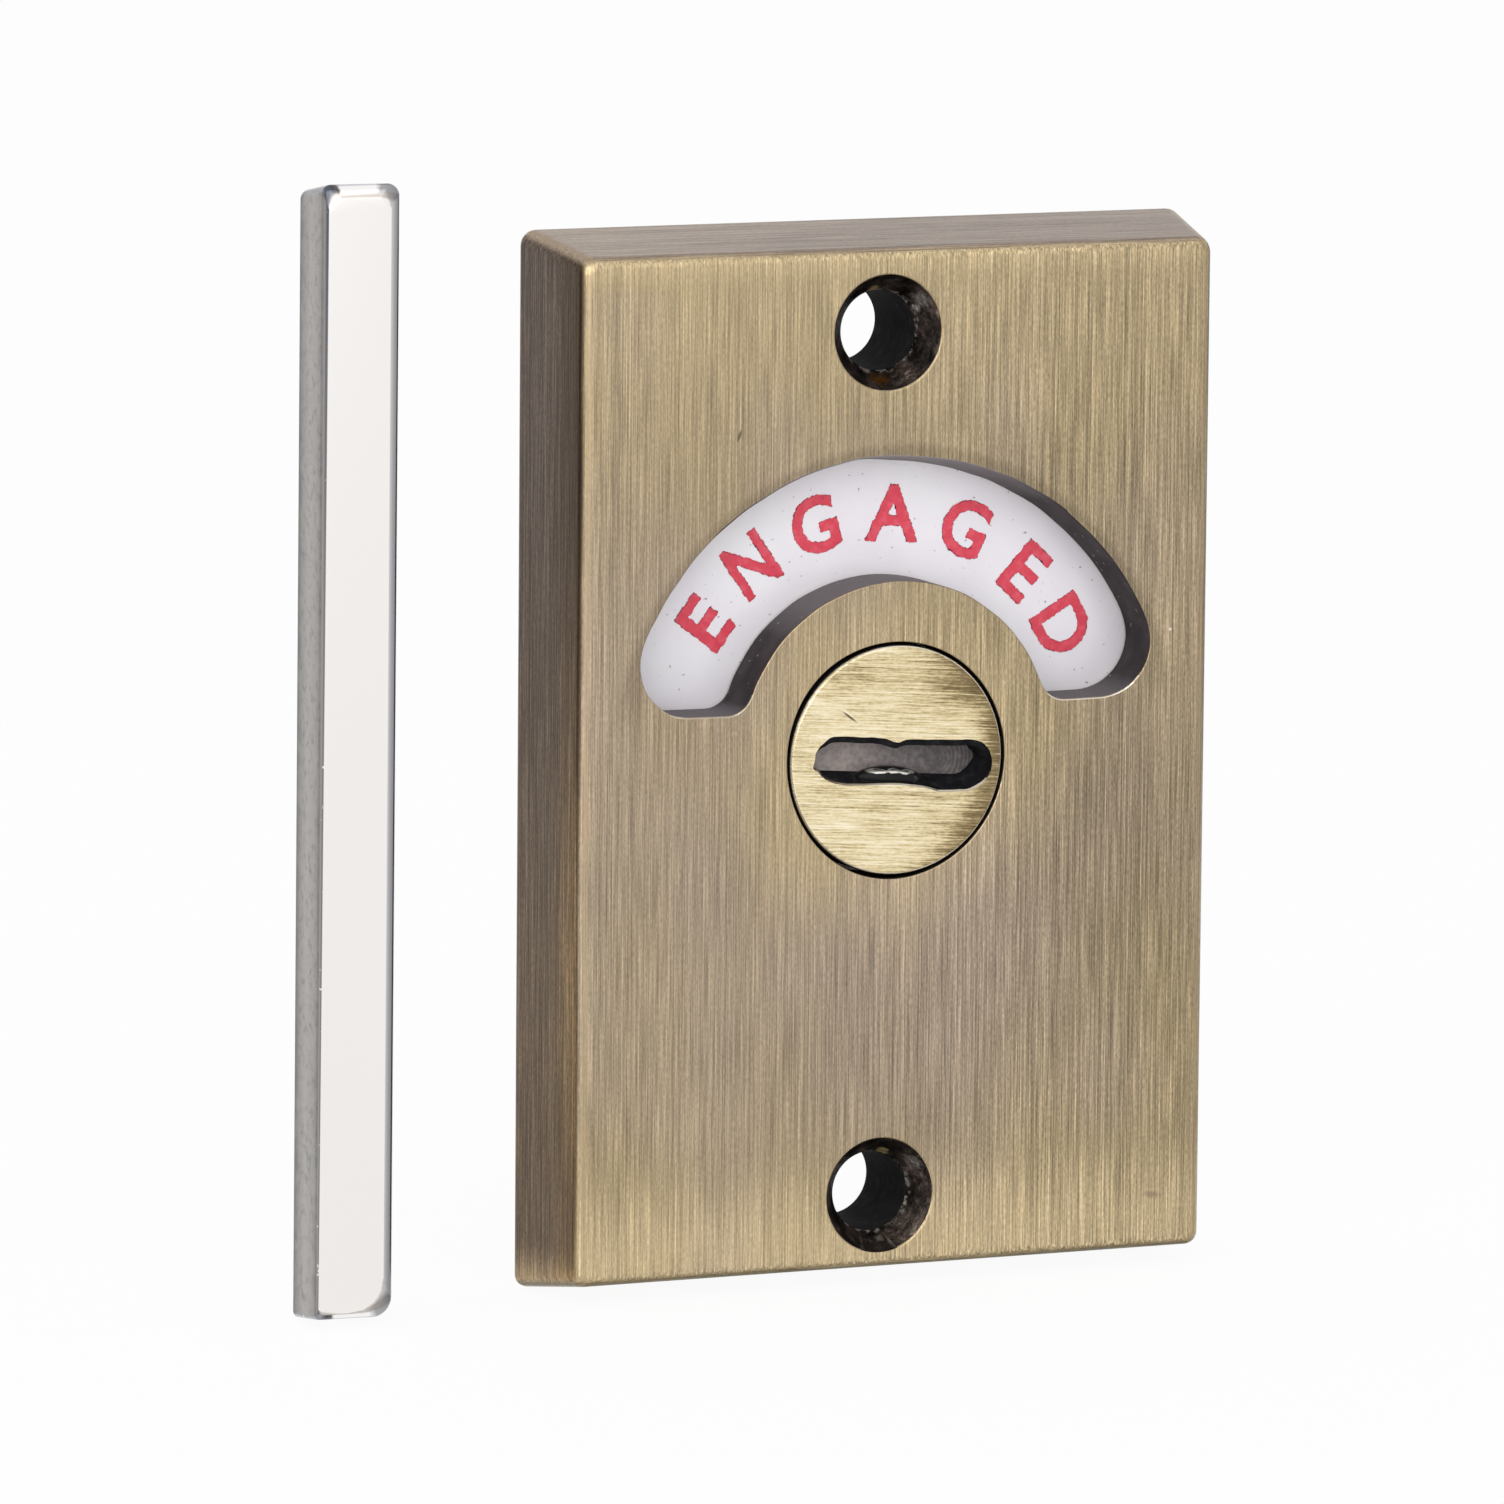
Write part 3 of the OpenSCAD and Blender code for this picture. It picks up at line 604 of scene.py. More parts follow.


# Drawn steel bar with its wide faces polished, in painted reflections: mirror white on the flats, grey and
# dark bands over the rounded edges and ends, and mottled with small pits on the narrow sides
barSet = {
    # painted reflections across the bar, from the left side over the front to the right side
    "across": [(0.0, "#a29e9a"), (0.05, "#a09c98"), (0.14, "#807f81"), (0.3, "#7b7b80"), (0.4, "#b5b3b2"),
               (0.46, "#f1edea"), (0.52, "#f1edea"), (0.545, "#c6c4c3"), (0.64, "#a6a6a9"), (0.8, "#87888c"),
               (0.93, "#6e7076"), (1.0, "#a29e9a")],
    # painted reflections over the end, from the front flat to the end face
    "over": [(0.04, "#ffffff"), (0.1, "#c9c4c0"), (0.22, "#d8d5d2"), (0.32, "#ffffff"), (0.78, "#ffffff"),
             (0.9, "#cfd0d8"), (1.0, "#c2c3cb")],
    # painted reflections across the ends, from left to right
    "ends": [(0.02, "#8d8e93"), (0.1, "#4c505b"), (0.19, "#665f5a"), (0.25, "#f6f4f3"), (0.66, "#f8f6f5"),
             (0.74, "#a9a8a9"), (1.0, "#85858a")],
    "leftRight": (-46.5, -40.5),
    # painted shade across the narrow sides, from the front to the back
    "side": [(0.06, "#7c7a79"), (0.25, "#9b9793"), (0.55, "#a8a39f"), (0.8, "#918e8a"), (0.95, "#666465")],
    "frontBack": (-11.3, -5.3),
    "patches": 1.6,  # size in mm
    "pits": (0.7, "#66635f"),  # size in mm and tone
    "glintChips": (0.4, 0.7, 0.78, "#f4f2f0"),  # painted glints on small chips: size in mm, where they start and are full, tone
    "glintHeights": (20, -30, -0.1, 0.06),  # fewer above the first and more below the second, by how much
    "paintedDark": (15, 43, 0.85, "#51555f"),  # painted dark reflection on the left arris: from and to these heights, its share and tone
    "relief": (0.4, 0.03),
}


def polishedBar():
    spec = barSet
    material, tree, shader, place = newMaterial("polishedSteelBar", Metallic=1.0)
    normal = addNode(tree, "ShaderNodeTexCoord").outputs["Normal"]
    squared = addNode(tree, "ShaderNodeVectorRotate", {
        "Vector": normal, "Angle": math.radians(-spindleSet["turn"])}, rotation_type="Z_AXIS")
    towards = addNode(tree, "ShaderNodeSeparateXYZ", {0: squared.outputs[0]})
    at = addNode(tree, "ShaderNodeSeparateXYZ", {0: place})
    # painted reflections: the tone follows the way each part of the surface faces
    across = addNode(tree, "ShaderNodeMapRange", {
        "Value": towards.outputs["X"], "From Min": -1.0, "From Max": 1.0})
    colour = addNode(tree, "ShaderNodeValToRGB", {"Fac": across.outputs[0]}, spec["across"]).outputs["Color"]
    patches = addNode(tree, "ShaderNodeTexNoise", {
        "Vector": place, "Scale": 1 / (spec["patches"] * mm), "Detail": 3.0, "Roughness": 0.6})
    blotched = addNode(tree, "ShaderNodeMapRange", {
        "Value": patches.outputs["Fac"], "From Min": 0.3, "From Max": 0.7, "To Min": -0.06, "To Max": 0.06})

    # the ends
    left, right = spec["leftRight"]
    width = addNode(tree, "ShaderNodeMapRange", {
        "Value": at.outputs["X"], "From Min": left * mm, "From Max": right * mm})
    width = addNode(tree, "ShaderNodeMath", {0: width.outputs[0], 1: blotched.outputs[0]})
    ends = addNode(tree, "ShaderNodeValToRGB", {"Fac": width.outputs[0]}, spec["ends"])
    level = addNode(tree, "ShaderNodeMath", {0: towards.outputs["Z"]}, operation="ABSOLUTE")
    onEnd = addNode(tree, "ShaderNodeMapRange", {
        "Value": level.outputs[0], "From Min": 0.1, "From Max": 0.35}, interpolation_type="SMOOTHSTEP")
    over = addNode(tree, "ShaderNodeValToRGB", {"Fac": level.outputs[0]}, spec["over"])
    colour = addNode(tree, "ShaderNodeMix", {
        "Factor": onEnd.outputs[0], "A": colour, "B": ends.outputs["Color"]},
        data_type="RGBA").outputs["Result"]
    colour = addNode(tree, "ShaderNodeMix", {
        "Factor": 1.0, "A": colour, "B": over.outputs["Color"]},
        data_type="RGBA", blend_type="MULTIPLY").outputs["Result"]

    # a painted dark reflection on the left arris, strongest at the top
    low, high, most, darkReflectionTone = spec["paintedDark"]
    leftward = addNode(tree, "ShaderNodeMapRange", {
        "Value": towards.outputs["X"], "From Min": -0.12, "From Max": -0.4}, interpolation_type="SMOOTHSTEP")
    upward = addNode(tree, "ShaderNodeMapRange", {
        "Value": at.outputs["Z"], "From Min": low * mm, "From Max": high * mm, "To Max": most})
    notSide = addNode(tree, "ShaderNodeMapRange", {
        "Value": towards.outputs["X"], "From Min": -0.95, "From Max": -0.7})
    paintedDark = addNode(tree, "ShaderNodeMath", {
        0: leftward.outputs[0], 1: upward.outputs[0]}, operation="MULTIPLY")
    paintedDark = addNode(tree, "ShaderNodeMath", {
        0: paintedDark.outputs[0], 1: notSide.outputs[0]}, operation="MULTIPLY")

    # pits and mottling on the narrow sides, with painted shade darker towards their edges
    sideways = addNode(tree, "ShaderNodeMath", {0: towards.outputs["X"]}, operation="ABSOLUTE")
    onSide = addNode(tree, "ShaderNodeMapRange", {
        "Value": sideways.outputs[0], "From Min": 0.9, "From Max": 0.98})
    front, back = spec["frontBack"]
    backward = addNode(tree, "ShaderNodeMapRange", {
        "Value": at.outputs["Y"], "From Min": front * mm, "From Max": back * mm})
    backward = addNode(tree, "ShaderNodeMath", {0: backward.outputs[0], 1: blotched.outputs[0]})
    sideTone = addNode(tree, "ShaderNodeValToRGB", {"Fac": backward.outputs[0]}, spec["side"])
    size, pitTone = spec["pits"]
    spots = addNode(tree, "ShaderNodeTexNoise", {
        "Vector": place, "Scale": 1 / (size * mm), "Detail": 4.0, "Roughness": 0.7})
    pits = addNode(tree, "ShaderNodeMapRange", {
        "Value": spots.outputs["Fac"], "From Min": 0.5, "From Max": 0.72, "To Max": 0.75})
    pitted = addNode(tree, "ShaderNodeMath", {
        0: pits.outputs[0], 1: onSide.outputs[0]}, operation="MULTIPLY")

    # small chips along the left arris, painted as bright glints, more of them lower down
    size, start, end, glintTone = spec["glintChips"]
    glintChips = addNode(tree, "ShaderNodeTexNoise", {"Vector": place, "Scale": 1 / (size * mm), "Detail": 1.0})
    high, low, fewer, more = spec["glintHeights"]
    lower = addNode(tree, "ShaderNodeMapRange", {
        "Value": at.outputs["Z"], "From Min": high * mm, "From Max": low * mm,
        "To Min": fewer, "To Max": more})
    chipGlints = addNode(tree, "ShaderNodeMath", {0: glintChips.outputs["Fac"], 1: lower.outputs[0]})
    chipGlints = addNode(tree, "ShaderNodeMapRange", {
        "Value": chipGlints.outputs[0], "From Min": start, "From Max": end})
    onArris = addNode(tree, "ShaderNodeMath", {
        0: towards.outputs["X"], 1: -0.5, 2: 0.42}, operation="COMPARE")
    chipGlints = addNode(tree, "ShaderNodeMath", {
        0: chipGlints.outputs[0], 1: onArris.outputs[0]}, operation="MULTIPLY")

    for share, tone in ((paintedDark, linear(darkReflectionTone)), (onSide, sideTone.outputs["Color"]),
                        (pitted, linear(pitTone)), (chipGlints, linear(glintTone))):
        colour = addNode(tree, "ShaderNodeMix", {
            "Factor": share.outputs[0], "A": colour, "B": tone}, data_type="RGBA").outputs["Result"]
    rough = addNode(tree, "ShaderNodeMapRange", {"Value": onSide.outputs[0], "To Min": 0.14, "To Max": 0.34})
    finishSurface(tree, shader, colour, (pitted.outputs[0], *spec["relief"]), rough.outputs[0], sunk=True)
    return material


# Rolled spring steel: satin, with faint rolling lines
springSet = {
    "lines": (0.3, 0.3, 12),  # width, thickness and length in mm
    "tones": [(0.3, "#a7a49f"), (0.7, "#cbc8c3")],
    "roughness": (0.24, 0.38),
}


def springSteel():
    spec = springSet
    material, tree, shader, place = newMaterial("springSteel", Metallic=1.0)
    mapped = addNode(tree, "ShaderNodeMapping", {"Vector": place, "Scale": perMm(*spec["lines"])})
    lines = addNode(tree, "ShaderNodeTexNoise", {
        "Vector": mapped.outputs[0], "Scale": 1.0, "Detail": 3.0, "Roughness": 0.55}).outputs["Fac"]
    colour = addNode(tree, "ShaderNodeValToRGB", {"Fac": lines}, spec["tones"])
    smooth, dull = spec["roughness"]
    rough = addNode(tree, "ShaderNodeMapRange", {"Value": lines, "To Min": smooth, "To Max": dull})
    finishSurface(tree, shader, colour.outputs["Color"], rough=rough.outputs[0])
    return material


def solo(piece):
    if bpy.context.object and bpy.context.object.mode == "EDIT":
        bpy.ops.object.mode_set(mode="OBJECT")
    bpy.ops.object.select_all(action="DESELECT")
    bpy.context.view_layer.objects.active = piece
    piece.select_set(True)


# select the vertices, edges or faces of the piece in edit mode that pass a test of their place
def pick(piece, kind, test):
    bpy.context.tool_settings.mesh_select_mode = [kind == each for each in ("verts", "edges", "faces")]
    bpy.ops.mesh.select_all(action="DESELECT")
    mesh = bmesh.from_edit_mesh(piece.data)
    for part in getattr(mesh, kind):
        if test(part):
            part.select_set(True)
    mesh.select_flush_mode()
    bmesh.update_edit_mesh(piece.data)


def edit(piece):
    solo(piece)
    bpy.ops.object.mode_set(mode="EDIT")


def leaveEdit():
    bpy.ops.mesh.select_all(action="SELECT")
    bpy.ops.mesh.normals_make_consistent(inside=False)
    bpy.ops.object.mode_set(mode="OBJECT")


def finishModifier(piece, kind, **settings):
    solo(piece)
    modifier = piece.modifiers.new(kind.lower(), kind)
    for key, value in settings.items():
        setattr(modifier, key, value)
    bpy.ops.object.modifier_apply(modifier=modifier.name)


def cutAway(piece, cutter):
    finishModifier(piece, "BOOLEAN", operation="DIFFERENCE", solver="EXACT", object=cutter)
    bpy.data.objects.remove(cutter, do_unlink=True)


def smoothPiece(piece):
    solo(piece)
    bpy.ops.object.shade_smooth_by_angle(angle=math.radians(32))
    finishModifier(piece, "WEIGHTED_NORMAL", keep_sharp=True, weight=90)


# a turned shape on an axis along Y, from (depth, radius) steps
def turned(name, centre, steps, sides):
    bpy.ops.object.select_all(action="DESELECT")
    depth, radius = steps[0]
    x, z = centre[0] * mm, centre[1] * mm
    bpy.ops.mesh.primitive_circle_add(vertices=sides, radius=radius * mm, fill_type="NGON",
                                      location=(x, deep(depth), z), rotation=(math.pi / 2, 0, 0))
    piece = bpy.context.object
    piece.name = name
    bpy.ops.object.transform_apply(location=True, rotation=True, scale=True)
    bpy.ops.object.mode_set(mode="EDIT")
    bpy.ops.mesh.select_all(action="SELECT")
    for nextDepth, nextRadius in steps[1:]:
        move = (nextDepth - depth) * mm
        bpy.ops.mesh.extrude_region_move(TRANSFORM_OT_translate={"value": (0, move, 0)})
        grow = nextRadius / radius
        if grow != 1:
            bpy.ops.transform.resize(value=(grow, 1, grow), center_override=(x, deep(nextDepth), z))
        depth, radius = nextDepth, nextRadius
    leaveEdit()
    return piece


# flat rings in mm, seen from the front, each at its own depth and with as many points, joined one to the next
def lofted(name, rings, base):
    bpy.ops.object.select_all(action="DESELECT")
    depth, ring = rings[0]
    bpy.ops.mesh.primitive_circle_add(vertices=len(ring), radius=0.01, fill_type="NGON")
    piece = bpy.context.object
    piece.name = name
    for vertex, (x, z) in zip(piece.data.vertices, ring):
        vertex.co = (x * mm, base + depth * mm, z * mm)
    bpy.ops.object.mode_set(mode="EDIT")
    bpy.ops.mesh.select_all(action="SELECT")
    for nextDepth, nextRing in rings[1:]:
        move = (nextDepth - depth) * mm
        bpy.ops.mesh.extrude_region_move(TRANSFORM_OT_translate={"value": (0, move, 0)})
        mesh = bmesh.from_edit_mesh(piece.data)
        for vertex in [v for v in mesh.verts if v.select]:
            index = min(range(len(ring)), key=lambda i: math.hypot(
                ring[i][0] * mm - vertex.co.x, ring[i][1] * mm - vertex.co.z))
            vertex.co.x, vertex.co.z = nextRing[index][0] * mm, nextRing[index][1] * mm
        bmesh.update_edit_mesh(piece.data)
        depth, ring = nextDepth, nextRing
    # no bent faces, so that a cut made with it leaves no hole
    bpy.ops.mesh.select_all(action="SELECT")
    bpy.ops.mesh.quads_convert_to_tris()
    leaveEdit()
    return piece


def arc(centre, radius, start, end, steps):
    angles = [math.radians(start + (end - start) * i / steps) for i in range(steps + 1)]
    return [(centre[0] + radius * math.cos(a), centre[1] + radius * math.sin(a)) for a in angles]


# a box outline with its own radius at each corner: upper right, upper left, lower left, lower right
def boxOutline(left, right, low, high, radii, steps=10):
    centres = [(right - radii[0], high - radii[0]), (left + radii[1], high - radii[1]),
               (left + radii[2], low + radii[2]), (right - radii[3], low + radii[3])]
    return [point for i in range(4) for point in arc(centres[i], radii[i], i * 90, i * 90 + 90, steps)]


noise.seed_set(5)  # the hand cut edges come out the same each time


# the hand cut edge: points drift by a fraction of a millimetre
def drift(outline, amount, size):
    moved = []
    for x, z in outline:
        push = noise.noise_vector(Vector((x / size, 0.37, z / size)))
        moved.append((x + amount * push.x, z + amount * push.z))
    return moved


def finishPiece(piece, body, slot, *nodes):
    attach(piece, body)
    if nodes:
        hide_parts(*nodes)


def paintFaces(piece, choose, *materials):
    piece.data.materials.clear()
    for material in materials:
        piece.data.materials.append(material)
    for face in piece.data.polygons:
        face.material_index = materials.index(choose(face.center / mm, face.normal))


# plate

plateSet = {
    "frontSize": (50.8, 76.2),
    "corners": (1.2, 0.95),  # the upper ones are rounder
    "edge": 0.8,
    "rim": 0.12,
    "cutsWithin": 36.8,  # no cut in the front reaches past this height
    "fixing": [(-1, 31.9), (-1, -32.7)],
    "bore": 3.0,
    "countersink": 4.35,
    "countersinkDepth": 2.0,
    "wall": 4.3,
    "pocket": 24.4,
    "pocketBack": 8.5,
    "coverDepth": 8.0,
    "coverSize": (46.3, 54.3),
    "coverCorner": 4.15,
    "screwAt": (19.5, 23.5),
    "screwHole": 1.27,
    "turnBore": 8.79,
    "turnBoreAt": (0.0, 0.02),  # bored a trace off the axis
    "filed": [(138, 0.19), (255, 0.15)],  # and opened with a file in two places: direction and depth
}

windowSet = {
    "rise": 0.85,
    "outer": 22.1,
    "inner": 12.55,
    "sill": 3.95,
    "outerCorner": 4.0,
    "innerCorner": 2.1,
    "drift": 0.07,
    "flatter": (0.16, 0.24),  # the arch is this much low at its top, and more to the right of it
    "draft": 0.7,  # and its upper wall slopes down towards the back
    "straight": 0.3,  # behind this depth
    "bright": (5.5, -17),  # the rim gets a painted highlight below this height and left of this place
}


# sink is how far the top of the arch lies below the true circle
def windowOutline(sink=0.0):
    spec = windowSet
    middle = (0, spec["rise"])
    outerZ = spec["sill"] + spec["outerCorner"]
    innerZ = spec["sill"] + spec["innerCorner"]
    outerReach = spec["outer"] - spec["outerCorner"]
    innerReach = spec["inner"] + spec["innerCorner"]
    outerX = math.sqrt(outerReach ** 2 - (outerZ - spec["rise"]) ** 2)
    innerX = math.sqrt(innerReach ** 2 - (innerZ - spec["rise"]) ** 2)
    outerTurn = math.degrees(math.atan2(outerZ - spec["rise"], outerX))
    innerTurn = math.degrees(math.atan2(innerZ - spec["rise"], innerX))
    outline = []
    ends = spec["rise"] + spec["outer"] * math.sin(math.radians(outerTurn))
    for x, z in arc(middle, spec["outer"], outerTurn, 180 - outerTurn, 84):
        high = max(0, (z - ends) / (spec["rise"] + spec["outer"] - ends))
        right = min(1, max(0, (x + 3) / 5))
        outline.append((x, z - high * (sink + spec["flatter"][0] + spec["flatter"][1] * right)))
    outline += arc((-outerX, outerZ), spec["outerCorner"], 180 - outerTurn, 270, 16)[1:]
    outline += arc((-innerX, innerZ), spec["innerCorner"], 270, 360 - innerTurn, 10)
    outline += arc(middle, spec["inner"], 180 - innerTurn, innerTurn, 52)[1:-1]
    outline += arc((innerX, innerZ), spec["innerCorner"], 180 + innerTurn, 270, 10)
    outline += arc((outerX, outerZ), spec["outerCorner"], -90, outerTurn, 16)[:-1]
    return drift(outline, spec["drift"], 2.2)


def buildPlate():
    spec = plateSet
    lo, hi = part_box("face_plate")
    size = hi - lo
    bpy.ops.object.select_all(action="DESELECT")
    bpy.ops.mesh.primitive_cube_add(size=1, location=(lo + hi) / 2, scale=size)
    plate = bpy.context.object
    plate.name = "brassPlate"
    bpy.ops.object.transform_apply(location=True, rotation=True, scale=True)
    edit(plate)
    # the front is smaller than the back by the draft
    pick(plate, "faces", lambda face: face.normal.y < -0.9)
    shrink = [front * mm / back for front, back in zip(spec["frontSize"], (size.x, size.z))]
    bpy.ops.transform.resize(value=(shrink[0], 1, shrink[1]), center_override=(0, lo.y, 0))
    for corner, up in zip(spec["corners"], (1, -1)):
        pick(plate, "edges", lambda edge: abs(edge.verts[0].co.y - edge.verts[1].co.y) > size.y / 2
             and edge.verts[0].co.z * up > 0)
        bpy.ops.mesh.bevel(offset=corner * mm, segments=6, affect="EDGES")
    middle = (lo.y + hi.y) / 2
    pick(plate, "edges", lambda edge: abs(abs(edge.verts[0].co.y - middle) - size.y / 2) < 0.01 * mm
         and abs(edge.verts[0].co.y - edge.verts[1].co.y) < 0.01 * mm)
    bpy.ops.mesh.bevel(offset=spec["edge"] * mm, segments=5, affect="EDGES")
    leaveEdit()

    for centre in spec["fixing"]:
        cutAway(plate, turned("fixingCut", centre, [
            (before, spec["countersink"]), (0, spec["countersink"]),
            (spec["countersinkDepth"], spec["bore"]), (past, spec["bore"])], 72))
    window = windowOutline()
    behind = windowOutline(windowSet["draft"])
    cutAway(plate, lofted("windowCut", [
        (before, window), (windowSet["straight"], window), (spec["wall"] + 0.2, behind)], frontY))
    bore = []
    for x, z in arc((0, 0), spec["turnBore"], 0, 360, 120)[:-1]:
        turn = math.atan2(z, x)
        more = sum(depth * max(0, math.cos(turn - math.radians(at))) ** 6 for at, depth in spec["filed"])
        wider = 1 + more / spec["turnBore"]
        bore.append((spec["turnBoreAt"][0] + x * wider, spec["turnBoreAt"][1] + z * wider))
    cutAway(plate, lofted("turnCut", [(before, bore), (spec["wall"] + 1, bore)], frontY))
    cutAway(plate, turned("pocketCut", (0, 0), [
        (spec["wall"], spec["pocket"]), (spec["pocketBack"], spec["pocket"])], 128))
    halfWide, halfHigh = spec["coverSize"][0] / 2, spec["coverSize"][1] / 2
    rebate = boxOutline(-halfWide, halfWide, -halfHigh, halfHigh, [spec["coverCorner"]] * 4)
    cutAway(plate, lofted("rebateCut", [(spec["coverDepth"], rebate), (past, rebate)], frontY))
    screwSteps = [(spec["wall"], spec["screwHole"]), (spec["pocketBack"], spec["screwHole"])]
    for x in (-spec["screwAt"][0], spec["screwAt"][0]):
        for z in (-spec["screwAt"][1], spec["screwAt"][1]):
            cutAway(plate, turned("screwCut", (x, z), screwSteps, 24))

    # soften the rims of the cuts in the front face
    edit(plate)
    pick(plate, "edges", lambda edge: max(abs(v.co.y - lo.y) for v in edge.verts) < 0.01 * mm
         and max(abs(v.co.z) for v in edge.verts) < spec["cutsWithin"] * mm
         and edge.calc_face_angle(0) > math.radians(35))
    bpy.ops.mesh.bevel(offset=spec["rim"] * mm, segments=3, affect="EDGES", clamp_overlap=False)
    leaveEdit()

    # the front without its rounded edge, and how much wider the block gets with depth
    flatX, flatZ = (full / 2 - spec["edge"] - 0.1 for full in spec["frontSize"])
    draft = (size.x / mm - spec["frontSize"][0]) / 2 / (size.y / mm)
    rimDepth = spec["rim"] + 0.02
    brightTop, brightLeft = windowSet["bright"]

    def surface(centre, normal):
        depth = centre.y - frontY / mm
        outside = abs(centre.x) > flatX + draft * depth or abs(centre.z) > flatZ + draft * depth
        if normal.y > 0.9:
            return plainBrass
        fromWindow = math.hypot(centre.x, centre.z - windowSet["rise"])
        atWindow = windowSet["inner"] - 0.3 < fromWindow < windowSet["outer"] + 0.3
        # the window's rim: painted shade in black on faces under the arch, a painted highlight on the sill
        # and left end
        if 0.005 < depth < rimDepth and atWindow:
            if normal.z < -0.2:
                return blackWallAndRimShade
            if centre.z < brightTop and normal.z > 0.2 or centre.x < brightLeft and normal.x > 0.35:
                return rimWearAndHighlight
        if outside or depth < rimDepth:
            return antique
        fromHole = min(math.hypot(centre.x - x, centre.z - z) for x, z in spec["fixing"])
        if fromHole < spec["countersink"] + 0.1:
            return cone if depth < spec["countersinkDepth"] else soot
        if depth < spec["wall"] + 0.01:
            return soot if math.hypot(centre.x, centre.z) < spec["turnBore"] + 0.3 else blackWallAndRimShade
        return plainBrass

    paintFaces(plate, surface, antique, blackWallAndRimShade, rimWearAndHighlight, cone, soot, plainBrass)
    smoothPiece(plate)
    finishPiece(plate, "case", "antique_brass", "face_plate")


# coin turn

turnSet = {
    "barrel": 8.63,
    "rim": 0.3,
    "discDepth": 5.5,
    "flange": 15,
    "flangeBack": 6.4,
    "tail": 6,
    "tailBack": 9.1,
    "socket": 6.15,
    "socketFront": 3.8,
    # the slot was cut by hand, so its edge wanders: corner points in mm from the axis, from the left tip
    "slotEdge": [(-6.65, -0.16), (-6.5, 0.4), (-6.36, 0.98), (-5.85, 1.6), (-5.2, 1.93), (-4.2, 1.95),
                 (-3, 1.84), (-1.8, 1.78), (-0.6, 1.55), (0.15, 1.36), (0.8, 1.48), (2.48, 1.4),
                 (5.27, 1.27), (6.53, 1.13), (7.1, 0.84), (7.58, 0.36), (7.8, -0.4), (7.66, -1.2),
                 (7.1, -1.9), (6.28, -2.38), (5.2, -2.47), (3.66, -2.45), (3.2, -2.34), (2.35, -2.08),
                 (1.5, -1.96), (0.29, -1.78), (-3.32, -1.62), (-4.98, -1.39), (-5.81, -0.99), (-6.23, -0.54)],
    "slotLean": -0.075,  # how far it falls in each millimetre to the right
    "slotDepth": 2.2,
    "slotBrow": (0.45, 0.5),  # depth and drop of the sloped upper lip
    "slotBrowIn": (-5, 0.12),  # left of this place the wall leans in by this much
    "slotLip": 0.14,
    "slotLipOut": (-6, 0.1),  # left of this place the lip reaches out by this much
    "slotFoot": -1.2,  # where the sloped lower wall meets the floor
    "slotRound": (5.4, 0.25),  # the floor's right end: where it turns up and how fast
    "slotShort": (6, 0.3),  # and where it falls behind the edge and how fast
    "burrAt": (0.0, 1.45, -1.52),
    "burrSize": (2.7, 0.95, 0.9),
    "rivetRing": 10.6,
    "rivetHole": 0.72,
    "pinAt": (-12, 0),
    "pinHole": 1.02,
    "notchAt": 15.4,
    "notch": 1.15,
    "flangeCuts": (4.5, 7),  # depths between which the flange is cut
}


# a smooth closed curve through the corner points, four steps from each to the next
def slotOutline():
    corners = [Vector(corner) for corner in turnSet["slotEdge"]]
    count = len(corners)
    outline = []
    for i in range(count):
        before, start, end, after = (corners[(i + k) % count] for k in (-1, 0, 1, 2))
        for t in (0, 0.25, 0.5, 0.75):
            bend = 2 * before - 5 * start + 4 * end - after
            swing = 3 * start - before - 3 * end + after
            point = (2 * start + (end - before) * t + bend * t * t + swing * t ** 3) / 2
            outline.append((point.x, point.y))
    return drift(outline, 0.08, 0.7)


